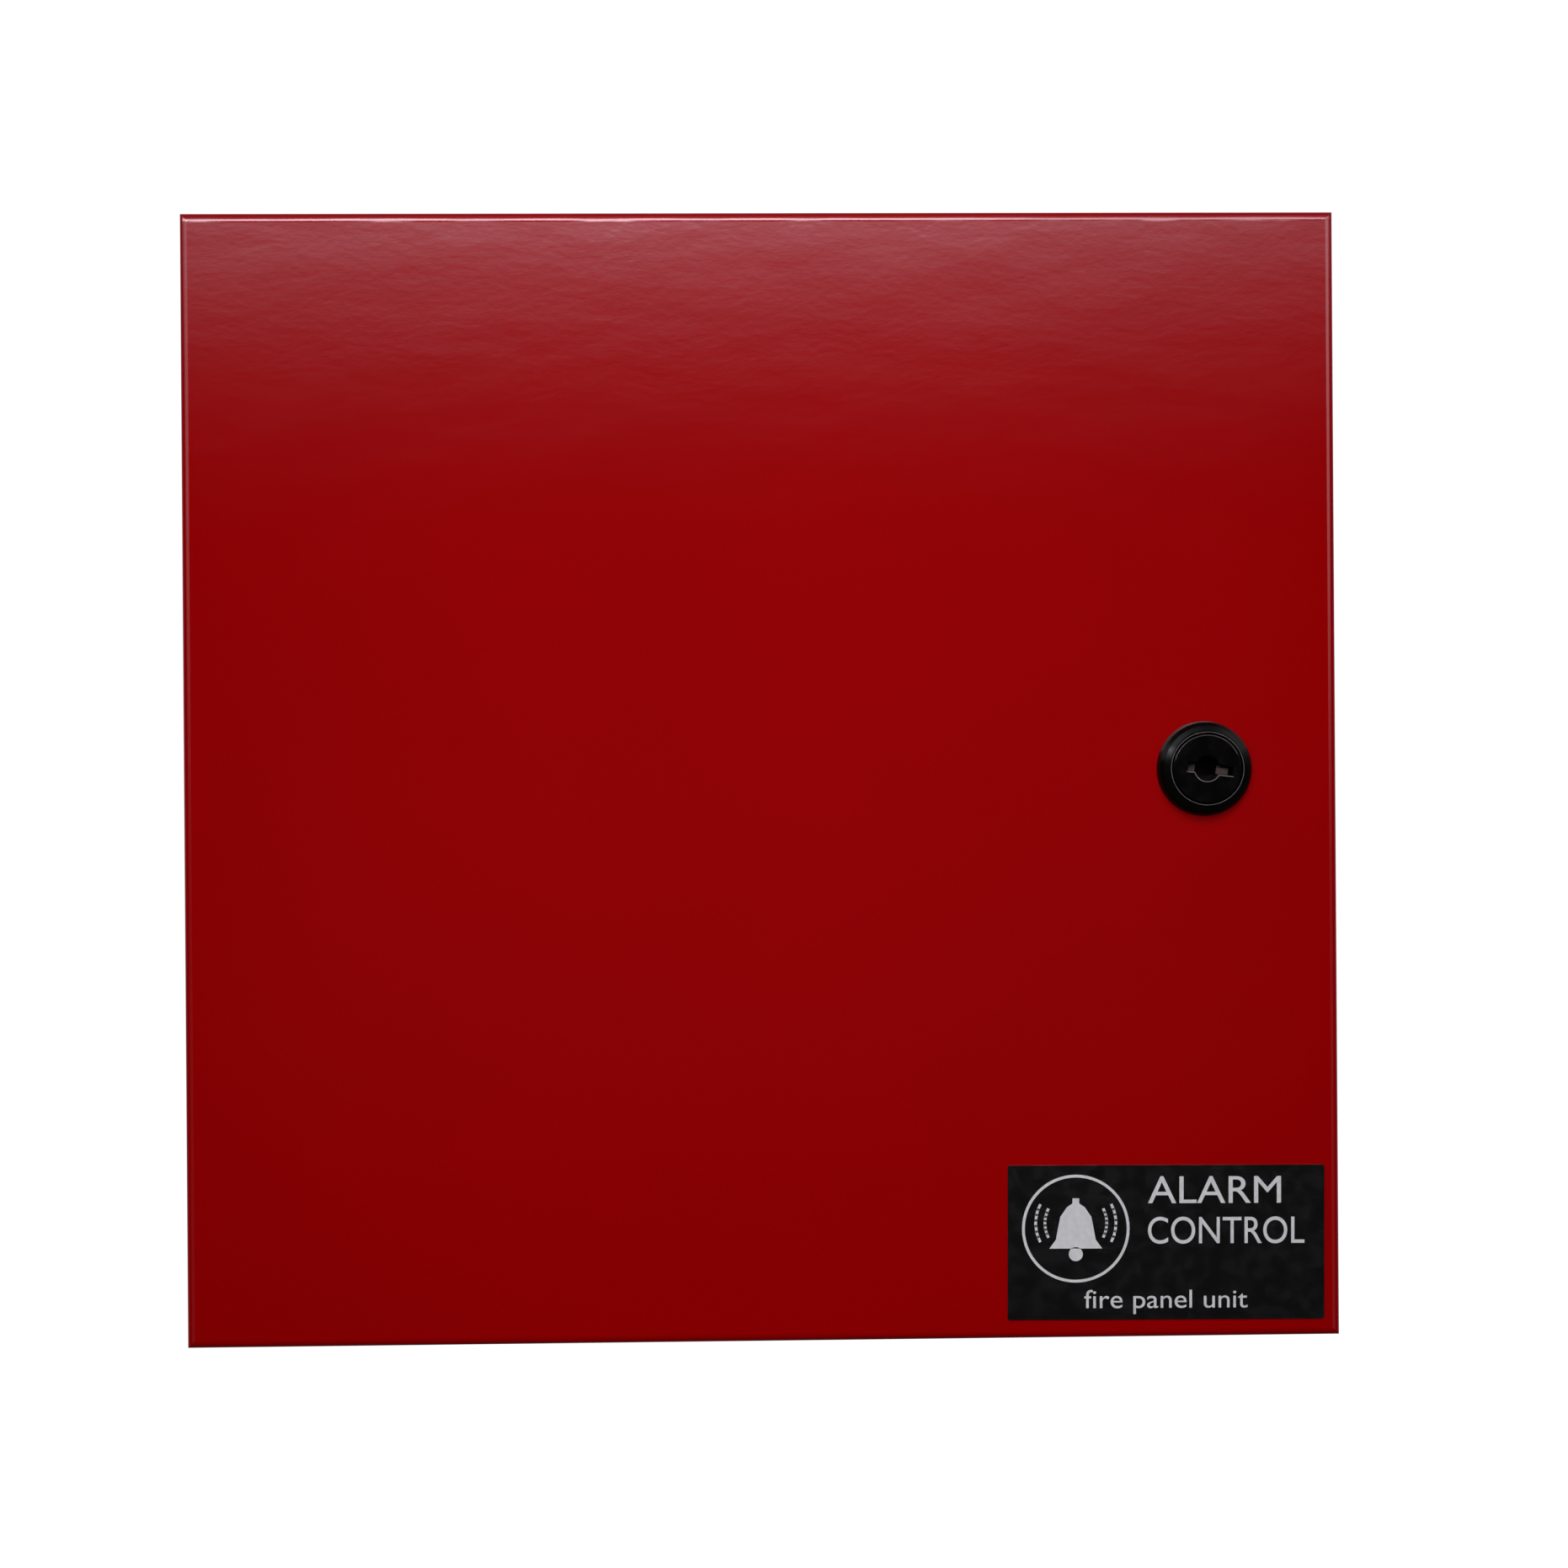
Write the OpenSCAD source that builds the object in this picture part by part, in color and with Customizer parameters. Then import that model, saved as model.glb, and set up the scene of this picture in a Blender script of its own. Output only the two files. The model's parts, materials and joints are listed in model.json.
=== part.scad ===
// Wall-mounted fire alarm control panel: a painted steel cabinet with a hinged, keyed door,
// a main board with a raised display and keypad, a mains transformer and two standby batteries.
// The origin is on the wall face, at the middle of the four wall screws.
// +Z is up and +Y points into the wall, so the door faces -Y.

/* [Cabinet] */
// Width of the door pan
door_w = 311.9; // [300:0.1:360]
// Height of the door pan
door_h = 305.5; // [302:0.5:360]
// Depth from the wall to the face of the door
panel_d = 83; // [83:1:110]
// Thickness of the sheet steel
sheet = 1.2; // [1:0.1:1.3]
// Depth of the door's folded flanges
door_flange = 12; // [11:0.5:12.5]
// Outer radius of the folds
bend_r = 2.4; // [1.8:0.1:2.4]
// Width of the box's inward front lips
lip_w = 12; // [10:1:12]
// Distance between the wall screws, both ways
wall_hole_pitch = 254; // [250:1:256]
// Diameter of the wall screw holes
wall_hole_d = 7.1; // [5:0.1:8]

/* [Lock and nameplate] */
// Distance from the door's lock side to the lock's axis
lock_inset = 36.4; // [34:0.1:38]
// Diameter of the lock's bezel
lock_bezel_d = 25.7; // [24:0.1:28]
// Turn of the key slot from level, clockwise from the front
key_tilt = 7; // [0:0.5:8]
// Width of the nameplate
plate_w = 86.1; // [40:0.1:90]
// Height of the nameplate
plate_h = 41.8; // [20:0.1:45]

/* [Inside] */
// Width of the main board
board_w = 256; // [256:1:260]
// Height of the main board
board_h = 146; // [146:1:147]
// Width of each battery
battery_w = 90; // [80:1:90]
// Height of each battery without its terminals
battery_h = 101; // [90:1:101]
// Depth of each battery
battery_d = 70; // [60:1:70]
// Travel of the keypad buttons
button_travel = 1; // [0.5:0.1:1]

/* [Hidden] */
$fn = 48;
eps = 0.01;

red_paint = "#a30c12";
zinc = "#b9bcc0";
black_plastic = "#17181a";
board_green = "#1d6b3a";

// Cabinet
door_gap = 1.3;
box_w = door_w - 10;
box_h = door_h - 5.5;
box_d = panel_d - sheet - door_gap;
in_r = bend_r - sheet;
in_w = box_w - 2 * sheet;
in_h = box_h - 2 * sheet;
wall_in = sheet;
lip_back = box_d - sheet;
weld_flange = 12;
knockout_r = 11.1;
knockout_big_r = 14.1;
knockout_slot = 0.5;
knockout_tab = 2.4;
top_knockouts = [-105, -38, 38, 105];
side_knockouts = [60, 105];
back_knockouts = [-70, 70];

// Hinges, with their axis behind the rear edge of the door's hinge-side flange
hinge_x = -box_w / 2 - 2.5;
hinge_out = panel_d - door_flange - 3.2;
hinge_z = [-100, 100];
hinge_l = 50;
knuckle_l = 19.1;
knuckle_gap = 0.3;
knuckle_r = 2.3;
leaf_t = 1.2;
hinge_pin_r = 1.25;
hinge_clearance = 0.06;
rivet_steps = [-17, 0, 17];
rivet_out = hinge_out - 11;
rivet_hole_r = 1.6;

// Lock
lock_x = door_w / 2 - lock_inset;
lock_z = 1.5;
bezel_h = 5;
barrel_r = 9.4;
barrel_flat = 8;
barrel_back = panel_d - 11.5;
plug_r = 7.4;
plug_face_r = 9.3;
plug_seat_r = 9.65;
plug_seat = panel_d + 3.4;
crest_r = 9.9;
plug_clearance = 0.06;
tail_side = 6.4;
key_hole_r = 3.3;
key_slot_w = 12.2;
key_slot_off = 0.9;
key_slot_h = 2.3;
key_depth = 9;
wafer_t = 0.6;
wafer_overlap = 0.5;
wafer_right_w = 3.2;
wafer_left_w = 1.9;
nut_t = 2.6;
cam_t = 1.6;
cam_w = 16;
cam_reach = 28;
cam_bend = 12;
cam_gap = 0.7;
cam_screw_r = 1.9;

// Door trim
plate_from_side = 4.5;
plate_from_bottom = 5.1;
plate_lean = 0.4;
plate_t = 0.4;
label_size = [170, 110];
label_at = [-32, 12];
label_t = 0.2;
bumper_r = 4;
bumper_t = 1.1;
bumper_x = [-141, 141];
bumper_z = [-141, 141];

// Main board, which stands on spacers on the back of the box
board_t = 1.6;
spacer_l = 8;
board_back = wall_in + spacer_l;
board_front = board_back + board_t;
board_z = -28;
spacer_x = [-122, 0, 122];
spacer_z = [-8, 98];
screw_r = 1.5;
screw_hole_r = 1.7;

// Screw terminals
pole = 7.62;
block_d = 14;
block_h = 14;
low_row_z = board_z + 1;
high_row_z = board_z + board_h - 1 - block_d;
low_blocks = [-124, -67, -10];
low_poles = 7;
high_blocks = [-124, -60];
high_poles = 8;
mains_x = 84;
mains_pole = 9.5;
mains_poles = 4;

// Power parts on the main board
relay_at = [[57, 76], [80, 76], [103, 76]];
relay_size = [19, 15.5, 15.3];
capacitor_at = [[96, 60], [118, 60], [96, 38]];
capacitor_r = 9;
capacitor_h = 30;
fuse_at = [[60, 68], [60, 58], [60, 48]];
fuse_l = 20;
fuse_r = 2.5;
sink_at = [57, 3];
sink_w = 52;
sink_d = 20;
sink_h = 28;
sink_fins = 7;
transistor_x = [64, 80, 96];
buzzer_at = [118, 36];
chip_at = [[57, 30, 14, 10], [75, 30, 10, 10], [24, 104, 16, 8], [46, 104, 12, 8]];
connector_at = [[50, -26, 10, 8], [66, -26, 12, 8], [70, 106, 24, 7], [100, 106, 16, 7]];

// Display module, raised in front of the main board
display_x = -112;
display_z = -6;
display_w = 160;
display_h = 104;
display_lift = 30;
display_back = board_front + display_lift;
display_front = display_back + board_t;
post_inset = 6;
post_x = [display_x + post_inset, display_x + display_w - post_inset];
post_z = [display_z + post_inset, display_z + display_h - post_inset];
bezel_t = 1.7;
bezel_wall = 2;
bezel_back = display_front + 9.6;
bezel_face = bezel_back + bezel_t;
boss_r = 4;
lcd_at = [-50, 66];
lcd_w = 98;
lcd_h = 42;
lcd_view_w = 78;
lcd_view_h = 27;
led_r = 1.5;
led_hole_r = 1.7;
zone_z = [84, 72, 60, 48];
zone_alarm_x = 14;
zone_trouble_x = 32;
status_z = 34;
button_x = [-98, -74, -50, -26, -2];
button_z = 14;
button_w = 17;
button_h = 10;
button_r = 1.5;
button_proud = 3;
button_fit = 0.3;
switch_h = 3;
ribbon_w = 25;
ribbon_t = 1;

// Transformer, on the back of the box at the lower right
core_x = 84;
core_z = -108;
core_w = 66;
core_h = 55;
core_d = 24;
core_leg = 11;
winding_d = 48;
strap_t = 1.2;
ear_w = 9;
transformer_screw_x = core_w / 2 + strap_t + ear_w / 2;

// Batteries, side by side on the floor of the box
battery_x = [-144, -51];
battery_floor = -in_h / 2;
battery_back = 5;
battery_lid_h = 9;
battery_r = 3;
tab_w = 4.8;
tab_t = 0.8;
tab_h = 6;
tab_inset = 12;
tab_sunk = 3;
tab_out = battery_back + 56;
tab_foot = battery_floor + battery_h;

// Earth stud
stud_at = [136, -62];
stud_l = 15;
stud_r = 2.4;
lug_out = wall_in + 1.8;
lug_t = 0.8;

// Wires: their ends and the points that they pass through, as [x, up, out from the wall]
wire_r = 1.1;
wire_sides = 10;
wire_steps = 4;
battery_positive_route = [
    [27, -39.6, 61], [27, -34, 61], [30, -30.5, 57], [38, -29.5, 46],
    [47, -30, 34], [52, -31.5, 24], [52.5, -30.5, 17.5], [52.5, -26.4, 16.5]
];
battery_negative_route = [
    [-132, -39.6, 61], [-132, -34, 61], [-128, -31, 62], [-110, -31, 63],
    [-70, -32, 62], [-20, -32, 61], [18, -33, 56], [43, -33, 44],
    [55, -33, 30], [57.5, -32, 18], [57.5, -26.4, 16.5]
];
battery_jumper_route = [
    [-66, -39.6, 61], [-66, -35, 61], [-61, -32.5, 58], [-52.5, -31.5, 55],
    [-44, -32.5, 58], [-39, -35, 61], [-39, -39.6, 61]
];
secondary_routes = [
    [[74, -83.8, 36], [74, -76, 36], [71, -65, 32], [69.5, -50, 26], [69, -34, 17], [69, -26.4, 16.5]],
    [[79, -83.8, 36], [79, -76, 36], [77, -65, 32], [75.5, -50, 26], [75, -34, 17], [75, -26.4, 16.5]]
];
primary_routes = [
    [[89, -83.8, 36], [89, -75, 36], [89.5, -60, 32], [89, -44, 22], [89, -34, 17], [89, -24, 15.5]],
    [[95, -83.8, 36], [95, -75, 36], [97.5, -60, 32], [99, -44, 22], [99, -34, 17], [99, -24, 15.5]]
];
earth_route = [
    [131, -62, 3.4], [125, -61.5, 4.5], [118, -57, 8], [113, -48, 12], [109, -38, 15],
    [108, -31, 15.5], [108, -24, 15.5]
];

// ---------- helpers ----------

// Turns [x, up, out from the wall] into the part's own frame
module from_wall() {
    rotate([90, 0, 0]) children();
}

module at(x, up, out) {
    from_wall() translate([x, up, out]) children();
}

// Extrudes an [out of the wall is -x, up is y] outline along X
module along_x(length) {
    rotate([90, 0, 90]) linear_extrude(height = length, center = true) children();
}

// Extrudes an [x, into the wall is +y] outline upwards
module along_z(length) {
    linear_extrude(height = length, center = true) children();
}

module rounded_rect(w, h, r) {
    square([w - 2 * r, h], center = true);
    square([w, h - 2 * r], center = true);
    for (sx = [-1, 1], sy = [-1, 1])
        translate([sx * (w / 2 - r), sy * (h / 2 - r)]) circle(r);
}

// A flat rounded block, centred in x and up, that starts at height 0
module slab(w, h, t, r) {
    linear_extrude(height = t) rounded_rect(w, h, r);
}

module box_from_corner(x, up, out, w, h, t) {
    at(x, up, out) cube([w, h, t]);
}

module hexagon(across_flats) {
    circle(d = across_flats / cos(30), $fn = 6);
}

// A ring slot that leaves two tabs, which hold the slug of a knockout
module knockout_ring(r) {
    difference() {
        circle(r + knockout_slot / 2);
        circle(r - knockout_slot / 2);
        square([2 * r + 4, knockout_tab], center = true);
    }
}

module knockout(big) {
    translate([0, 0, -1]) linear_extrude(height = sheet + 2) {
        knockout_ring(knockout_r);
        if (big) rotate(90) knockout_ring(knockout_big_r);
    }
}

// A pan-head screw that stands on height 0, with a cross recess
module pan_screw(head_r, head_h, shank_r, shank_l) {
    difference() {
        union() {
            cylinder(h = head_h * 0.55, r = head_r);
            translate([0, 0, head_h * 0.55]) cylinder(h = head_h * 0.45, r1 = head_r, r2 = head_r * 0.72);
        }
        for (turn = [0, 90])
            rotate(turn) translate([-head_r * 0.55, -0.3, head_h * 0.5]) cube([head_r * 1.1, 0.6, head_h]);
    }
    translate([0, 0, -shank_l]) cylinder(h = shank_l + eps, r = shank_r);
}

function unit(v) = v / norm(v);

function spline_point(a, b, c, d, t) =
    0.5 * (2 * b + (c - a) * t + (2 * a - 5 * b + 4 * c - d) * t * t + (3 * b - a - 3 * c + d) * t * t * t);

// The hand-placed points, joined by one smooth curve
function smooth_route(p) = [
    for (i = [0:len(p) - 2], s = [0:wire_steps - 1])
        spline_point(p[max(i - 1, 0)], p[i], p[i + 1], p[min(i + 2, len(p) - 1)], s / wire_steps),
    p[len(p) - 1]
];

function tangent(p, i) = unit(p[min(i + 1, len(p) - 1)] - p[max(i - 1, 0)]);

function carried(n, t) = unit(n - (n * t) * t);

// One normal for each ring, carried along so that the tube doesn't twist
function ring_normals(p) = [
    for (i = 0, n = carried([0.3, 0.2, 1], tangent(p, 0)); i < len(p);
        i = i + 1, n = i < len(p) ? carried(n, tangent(p, i)) : n) n
];

module tube(route, r) {
    p = smooth_route(route);
    normals = ring_normals(p);
    last = len(p) - 1;
    points = [
        for (i = [0:last], k = [0:wire_sides - 1])
            let (a = 360 * k / wire_sides, t = tangent(p, i), n = normals[i])
            p[i] + r * (cos(a) * n + sin(a) * cross(t, n))
    ];
    sides = [
        for (i = [0:last - 1], k = [0:wire_sides - 1])
            let (a = i * wire_sides + k, b = i * wire_sides + (k + 1) % wire_sides)
            [b, a, a + wire_sides, b + wire_sides]
    ];
    first_cap = [[for (k = [0:wire_sides - 1]) k]];
    last_cap = [[for (k = [wire_sides - 1:-1:0]) last * wire_sides + k]];
    polyhedron(points = points, faces = concat(sides, first_cap, last_cap));
}

// ---------- cabinet ----------

// Section of the bent sheet that makes the box's back, sides and side lips
module wrapper_section() {
    difference() {
        translate([0, -box_d / 2]) rounded_rect(box_w, box_d, bend_r);
        translate([0, -box_d / 2]) rounded_rect(in_w, box_d - 2 * sheet, in_r);
        translate([-(box_w / 2 - lip_w), -box_d - 1]) square([box_w - 2 * lip_w, sheet + 2]);
    }
}

module box_wrapper() {
    color(red_paint) difference() {
        along_z(box_h) wrapper_section();
        for (sx = [-1, 1], sz = [-1, 1])
            at(sx * wall_hole_pitch / 2, sz * wall_hole_pitch / 2, -1)
                cylinder(h = sheet + 2, d = wall_hole_d);
        for (x = back_knockouts) at(x, 70, 0) knockout(false);
        for (side = [-1, 1], z = side_knockouts)
            translate([side * (box_w / 2 - sheet / 2), -box_d / 2, z])
                rotate([0, 90, 0]) translate([0, 0, -sheet / 2]) knockout(false);
        for (hz = hinge_z, step = rivet_steps)
            translate([-box_w / 2 - 1, -rivet_out, hz + step])
                rotate([0, 90, 0]) cylinder(h = sheet + 2, r = rivet_hole_r);
    }
}

// Section of the folded end of the box: front lip, end wall and rear weld flange
module end_section() {
    difference() {
        translate([-box_d, box_h / 2 - lip_w]) union() {
            translate([0, -bend_r]) square([box_d - sheet, lip_w]);
            translate([bend_r, 0]) square([box_d - sheet - 2 * bend_r, lip_w]);
            for (out = [bend_r, box_d - sheet - bend_r]) translate([out, lip_w - bend_r]) circle(bend_r);
        }
        translate([-box_d + sheet, box_h / 2 - lip_w - sheet - bend_r])
            square([box_d - 3 * sheet, lip_w - in_r + bend_r]);
        translate([-box_d + sheet + in_r, box_h / 2 - lip_w])
            square([box_d - 3 * sheet - 2 * in_r, lip_w - sheet]);
        for (out = [-box_d + sheet + in_r, -2 * sheet - in_r])
            translate([out, box_h / 2 - sheet - in_r]) circle(in_r);
    }
}

module box_end() {
    corner = box_w / 2 - lip_w - 0.1;
    notch = in_r + 0.1;
    difference() {
        along_x(in_w) end_section();
        for (side = [-1, 1]) {
            // room for the wrapper's side lips in front, and for the insides of its folds
            translate([side * (corner + 10) - 10, -box_d - 1, 0]) cube([20, sheet + 1 + eps, box_h]);
            for (y = [-box_d + sheet - 1, -sheet - notch])
                translate([side * (in_w / 2 - notch + 5) - 5, y, 0]) cube([10, notch + 1, box_h]);
        }
        for (x = top_knockouts) translate([x, -box_d / 2, box_h / 2 - sheet]) knockout(abs(x) < 50);
    }
    for (side = [-1, 1])
        translate([side * (in_w / 2 - sheet / 2) - sheet / 2, -box_d + 6, box_h / 2 - sheet - weld_flange])
            cube([sheet, box_d - 14, weld_flange + eps]);
}

module box_top() {
    color(red_paint) box_end();
}

module box_bottom() {
    color(red_paint) mirror([0, 0, 1]) box_end();
}

// Half-open section of the door pan, with rounded front corners
module pan_section(half, front, rear, r) {
    translate([-half, front + r]) square([2 * half, rear - front - r]);
    translate([-half + r, front]) square([2 * (half - r), rear - front]);
    for (s = [-1, 1]) translate([s * (half - r), front + r]) circle(r);
}

module pan_solid(inset, r, rear) {
    front = -panel_d + inset;
    intersection() {
        along_z(door_h + 10) pan_section(door_w / 2 - inset, front, rear, r);
        along_x(door_w + 10) mirror([1, -1]) pan_section(door_h / 2 - inset, front, rear, r);
    }
}

module lock_outline(grow) {
    intersection() {
        circle(barrel_r + grow);
        square([2 * barrel_r + 2, 2 * (barrel_flat + grow)], center = true);
    }
}

module door() {
    flange_back = -panel_d + door_flange;
    gap = 0.24;
    seam_z = door_h / 2 - sheet - gap / 2;
    color(red_paint) difference() {
        pan_solid(0, bend_r, flange_back);
        pan_solid(sheet, in_r, flange_back + 5);
        at(lock_x, lock_z, panel_d - sheet - 1) linear_extrude(height = sheet + 2) lock_outline(0.2);
        // the folded flanges meet at each corner with a hairline gap
        for (sx = [-1, 1], sz = [-1, 1])
            translate([sx * (door_w - sheet) / 2 - 1, flange_back - 9, sz * seam_z - gap / 2])
                cube([2, 10, gap]);
    }
}

// ---------- hinges ----------

module hinge_barrel(from, length, r) {
    translate([hinge_x, -hinge_out, from]) cylinder(h = length, r = r);
}

module hinge_box_leaf(z) {
    end_l = (hinge_l - knuckle_l) / 2 - knuckle_gap;
    leaf_w = 17;
    translate([0, 0, z]) difference() {
        union() {
            for (from = [-hinge_l / 2, hinge_l / 2 - end_l]) hinge_barrel(from, end_l, knuckle_r);
            translate([-box_w / 2 - leaf_t, -hinge_out, -hinge_l / 2]) cube([leaf_t, leaf_w, hinge_l]);
        }
        hinge_barrel(-hinge_l, 2 * hinge_l, hinge_pin_r);
        translate([-box_w / 2 - 5, -hinge_out - 3, -knuckle_l / 2 - knuckle_gap])
            cube([6, 3 + knuckle_r + knuckle_gap, knuckle_l + 2 * knuckle_gap]);
        for (step = rivet_steps)
            translate([-box_w / 2 - 3, -rivet_out, step])
                rotate([0, 90, 0]) cylinder(h = 6, r = rivet_hole_r);
    }
}

module hinge_door_leaf(z) {
    leaf_w = hinge_out - panel_d + bend_r;
    leaf_x = -door_w / 2 + sheet;
    cut_l = 25;
    cut_y = -hinge_out - knuckle_r - knuckle_gap;
    translate([0, 0, z]) difference() {
        union() {
            hinge_barrel(-knuckle_l / 2, knuckle_l, knuckle_r);
            translate([leaf_x, -hinge_out + leaf_w, -hinge_l / 2]) cube([leaf_t, -leaf_w, hinge_l]);
        }
        hinge_barrel(-hinge_l, 2 * hinge_l, hinge_pin_r + hinge_clearance);
        for (end = [-1, 1]) translate([leaf_x - 1, cut_y, end * (knuckle_l + cut_l) / 2 - cut_l / 2])
            cube([6, 10, cut_l]);
    }
}

module hinge_box_leaves() {
    color(zinc) for (z = hinge_z) hinge_box_leaf(z);
}

module hinge_door_leaves() {
    color(zinc) for (z = hinge_z) hinge_door_leaf(z);
}

module hinge_pins() {
    head_h = 0.8;
    color("#8d9094") for (z = hinge_z) {
        hinge_barrel(z - hinge_l / 2 - eps, hinge_l + 2 * eps, hinge_pin_r);
        for (end = [-hinge_l / 2 - head_h, hinge_l / 2]) hinge_barrel(z + end, head_h, knuckle_r - 0.3);
    }
}

module hinge_rivets() {
    color(zinc) for (z = hinge_z, step = rivet_steps)
        translate([-box_w / 2 - leaf_t, -rivet_out, z + step]) rotate([0, 90, 0]) {
            translate([0, 0, -0.9]) cylinder(h = 0.9, r1 = 1.6, r2 = 2.5);
            cylinder(h = leaf_t + sheet, r = rivet_hole_r - 0.05);
            translate([0, 0, leaf_t + sheet]) cylinder(h = 0.8, r1 = 2.3, r2 = 1.7);
        }
}

// ---------- door trim ----------

module door_bumpers() {
    color("#202020") for (x = bumper_x, z = bumper_z)
        at(x, z, panel_d - sheet - bumper_t) cylinder(h = bumper_t, r1 = bumper_r - 0.5, r2 = bumper_r);
}

module nameplate() {
    x = door_w / 2 - plate_from_side - plate_w / 2;
    z = -door_h / 2 + plate_from_bottom + plate_h / 2;
    color(black_plastic) at(x, z, panel_d) rotate(-plate_lean) slab(plate_w, plate_h, plate_t, 0.6);
}

module door_label() {
    color("#f2f0e8") at(label_at[0], label_at[1], panel_d - sheet - label_t)
        slab(label_size[0], label_size[1], label_t, 3);
}

// ---------- lock ----------

module at_lock(out) {
    at(lock_x, lock_z, out) children();
}

// Outline of the lock's housing: the sloped bezel, the plug's seat and the threaded barrel
module lock_body() {
    bezel_r = lock_bezel_d / 2;
    bezel_top = panel_d + bezel_h;
    pitch = 1.5;
    turns = floor((panel_d - sheet - barrel_back) / pitch);
    thread = [
        for (i = [0:turns - 1], tip = [0, 1])
            [tip ? barrel_r - 0.45 : barrel_r, barrel_back + (i + 0.5 * tip) * pitch]
    ];
    shoulder_r = crest_r + 0.3;
    dome = [
        for (turn = [0, 30, 60, 90])
            [shoulder_r + (bezel_r - shoulder_r) * cos(turn), panel_d + 0.6 + (bezel_h - 1) * sin(turn)]
    ];
    outline = concat(
        [[plug_r + plug_clearance, barrel_back]],
        thread,
        [[barrel_r, barrel_back + turns * pitch], [barrel_r, panel_d], [bezel_r, panel_d]],
        dome,
        [
            [crest_r + 0.1, bezel_top - 0.1], [crest_r - 0.1, bezel_top],
            [plug_seat_r + 0.1, bezel_top - 0.1], [plug_seat_r, bezel_top - 0.25],
            [plug_seat_r, plug_seat], [plug_r + plug_clearance, plug_seat]
        ]
    );
    color(black_plastic) at_lock(0) difference() {
        rotate_extrude() polygon(outline);
        for (side = [-1, 1])
            translate([-20, side * (barrel_flat + 10) - 10, barrel_back - 1])
                cube([40, 20, panel_d - barrel_back + 1]);
    }
}

module lock_nut() {
    color(zinc) at_lock(panel_d - sheet - nut_t) linear_extrude(height = nut_t) difference() {
        hexagon(24);
        circle(barrel_r + 0.1);
    }
}

module key_way(grow) {
    rotate(-key_tilt) {
        circle(key_hole_r + grow);
        translate([key_slot_off, 0]) square([key_slot_w + 2 * grow, key_slot_h + 2 * grow], center = true);
    }
}

module lock_plug() {
    shoulder = barrel_back - 0.2;
    face = panel_d + bezel_h - 0.1;
    color("#101113") at_lock(0) difference() {
        union() {
            translate([0, 0, shoulder]) cylinder(h = plug_seat - shoulder + 0.1, r = plug_r);
            translate([0, 0, plug_seat + 0.05]) cylinder(h = face - plug_seat - 0.25, r = plug_face_r);
            translate([0, 0, face - 0.2]) cylinder(h = 0.2, r1 = plug_face_r, r2 = plug_face_r - 0.2);
            translate([-tail_side / 2, -tail_side / 2, shoulder - cam_t + 0.1])
                cube([tail_side, tail_side, cam_t]);
        }
        translate([0, 0, face - key_depth]) linear_extrude(height = key_depth + 1) key_way(0);
        translate([0, 0, face - 0.25]) linear_extrude(height = 1) key_way(0.2);
        translate([0, 0, shoulder - cam_t - 1]) cylinder(h = 8, r = cam_screw_r + 0.05);
    }
}

// Brass wafers that stand in the wings of the key slot, three on the right and one on the left
module lock_wafers() {
    color("#b08a3c") for (i = [0:3])
        at_lock(panel_d + bezel_h - 2.6 - 1.5 * i) rotate(-key_tilt)
            if (i == 1)
                translate([wafer_overlap - key_hole_r - wafer_left_w, -key_slot_h / 2, 0])
                    cube([wafer_left_w, key_slot_h - 0.3, wafer_t]);
            else
                translate([key_hole_r - wafer_overlap + 0.2 * i, -key_slot_h / 2, 0])
                    cube([wafer_right_w, key_slot_h - 0.1 * i, wafer_t]);
}

// The cam hangs down while the door is free, and a quarter turn of the key swings it behind the side lip
module lock_cam() {
    base = barrel_back - 0.2 - cam_t;
    tip = lip_back - cam_gap - cam_t;
    color(zinc) at_lock(base) rotate(180) {
        difference() {
            union() {
                cylinder(h = cam_t, r = cam_w / 2 + 1);
                translate([-cam_w / 2, 0, 0]) cube([cam_w, cam_bend + cam_t, cam_t]);
            }
            translate([-tail_side / 2 - 0.1, -tail_side / 2 - 0.1, -1])
                cube([tail_side + 0.2, tail_side + 0.2, cam_t + 2]);
        }
        translate([-cam_w / 2, cam_bend, 0]) cube([cam_w, cam_t, tip - base + cam_t]);
        translate([-cam_w / 2, cam_bend, tip - base])
            cube([cam_w, cam_reach - cam_bend - cam_w / 2, cam_t]);
        translate([0, cam_reach - cam_w / 2, tip - base]) cylinder(h = cam_t, r = cam_w / 2);
    }
}

module cam_screw() {
    seat = barrel_back - 0.2 - cam_t;
    color("#9a9da1") at_lock(seat) rotate([180, 0, 0]) {
        cylinder(h = 1, r = 5.6);
        translate([0, 0, 1]) pan_screw(3.6, 2.4, cam_screw_r, 6);
    }
}

// ---------- main board ----------

module main_board() {
    color(board_green) difference() {
        at(0, board_z + board_h / 2, board_back) slab(board_w, board_h, board_t, 3);
        for (x = spacer_x, z = spacer_z)
            at(x, z, board_back - 1) cylinder(h = board_t + 2, r = screw_hole_r);
    }
}

module board_spacers() {
    color("#c9a44c") for (x = spacer_x, z = spacer_z)
        at(x, z, wall_in) linear_extrude(height = spacer_l) difference() {
            hexagon(6);
            circle(screw_r + 0.1);
        }
}

// The pan-head screws of the main board, the display bezel and the transformer's strap
module panel_screws() {
    color(zinc) {
        for (x = spacer_x, z = spacer_z) at(x, z, board_front) pan_screw(3, 2.2, screw_r, 5);
        for (x = post_x, z = post_z)
            at(x, z, bezel_face) pan_screw(2.8, 2, screw_r, bezel_face - display_back + 4);
        for (side = [-1, 1])
            at(core_x + side * transformer_screw_x, core_z, wall_in + strap_t)
                pan_screw(3.2, 2.4, 1.7, strap_t);
    }
}

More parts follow.
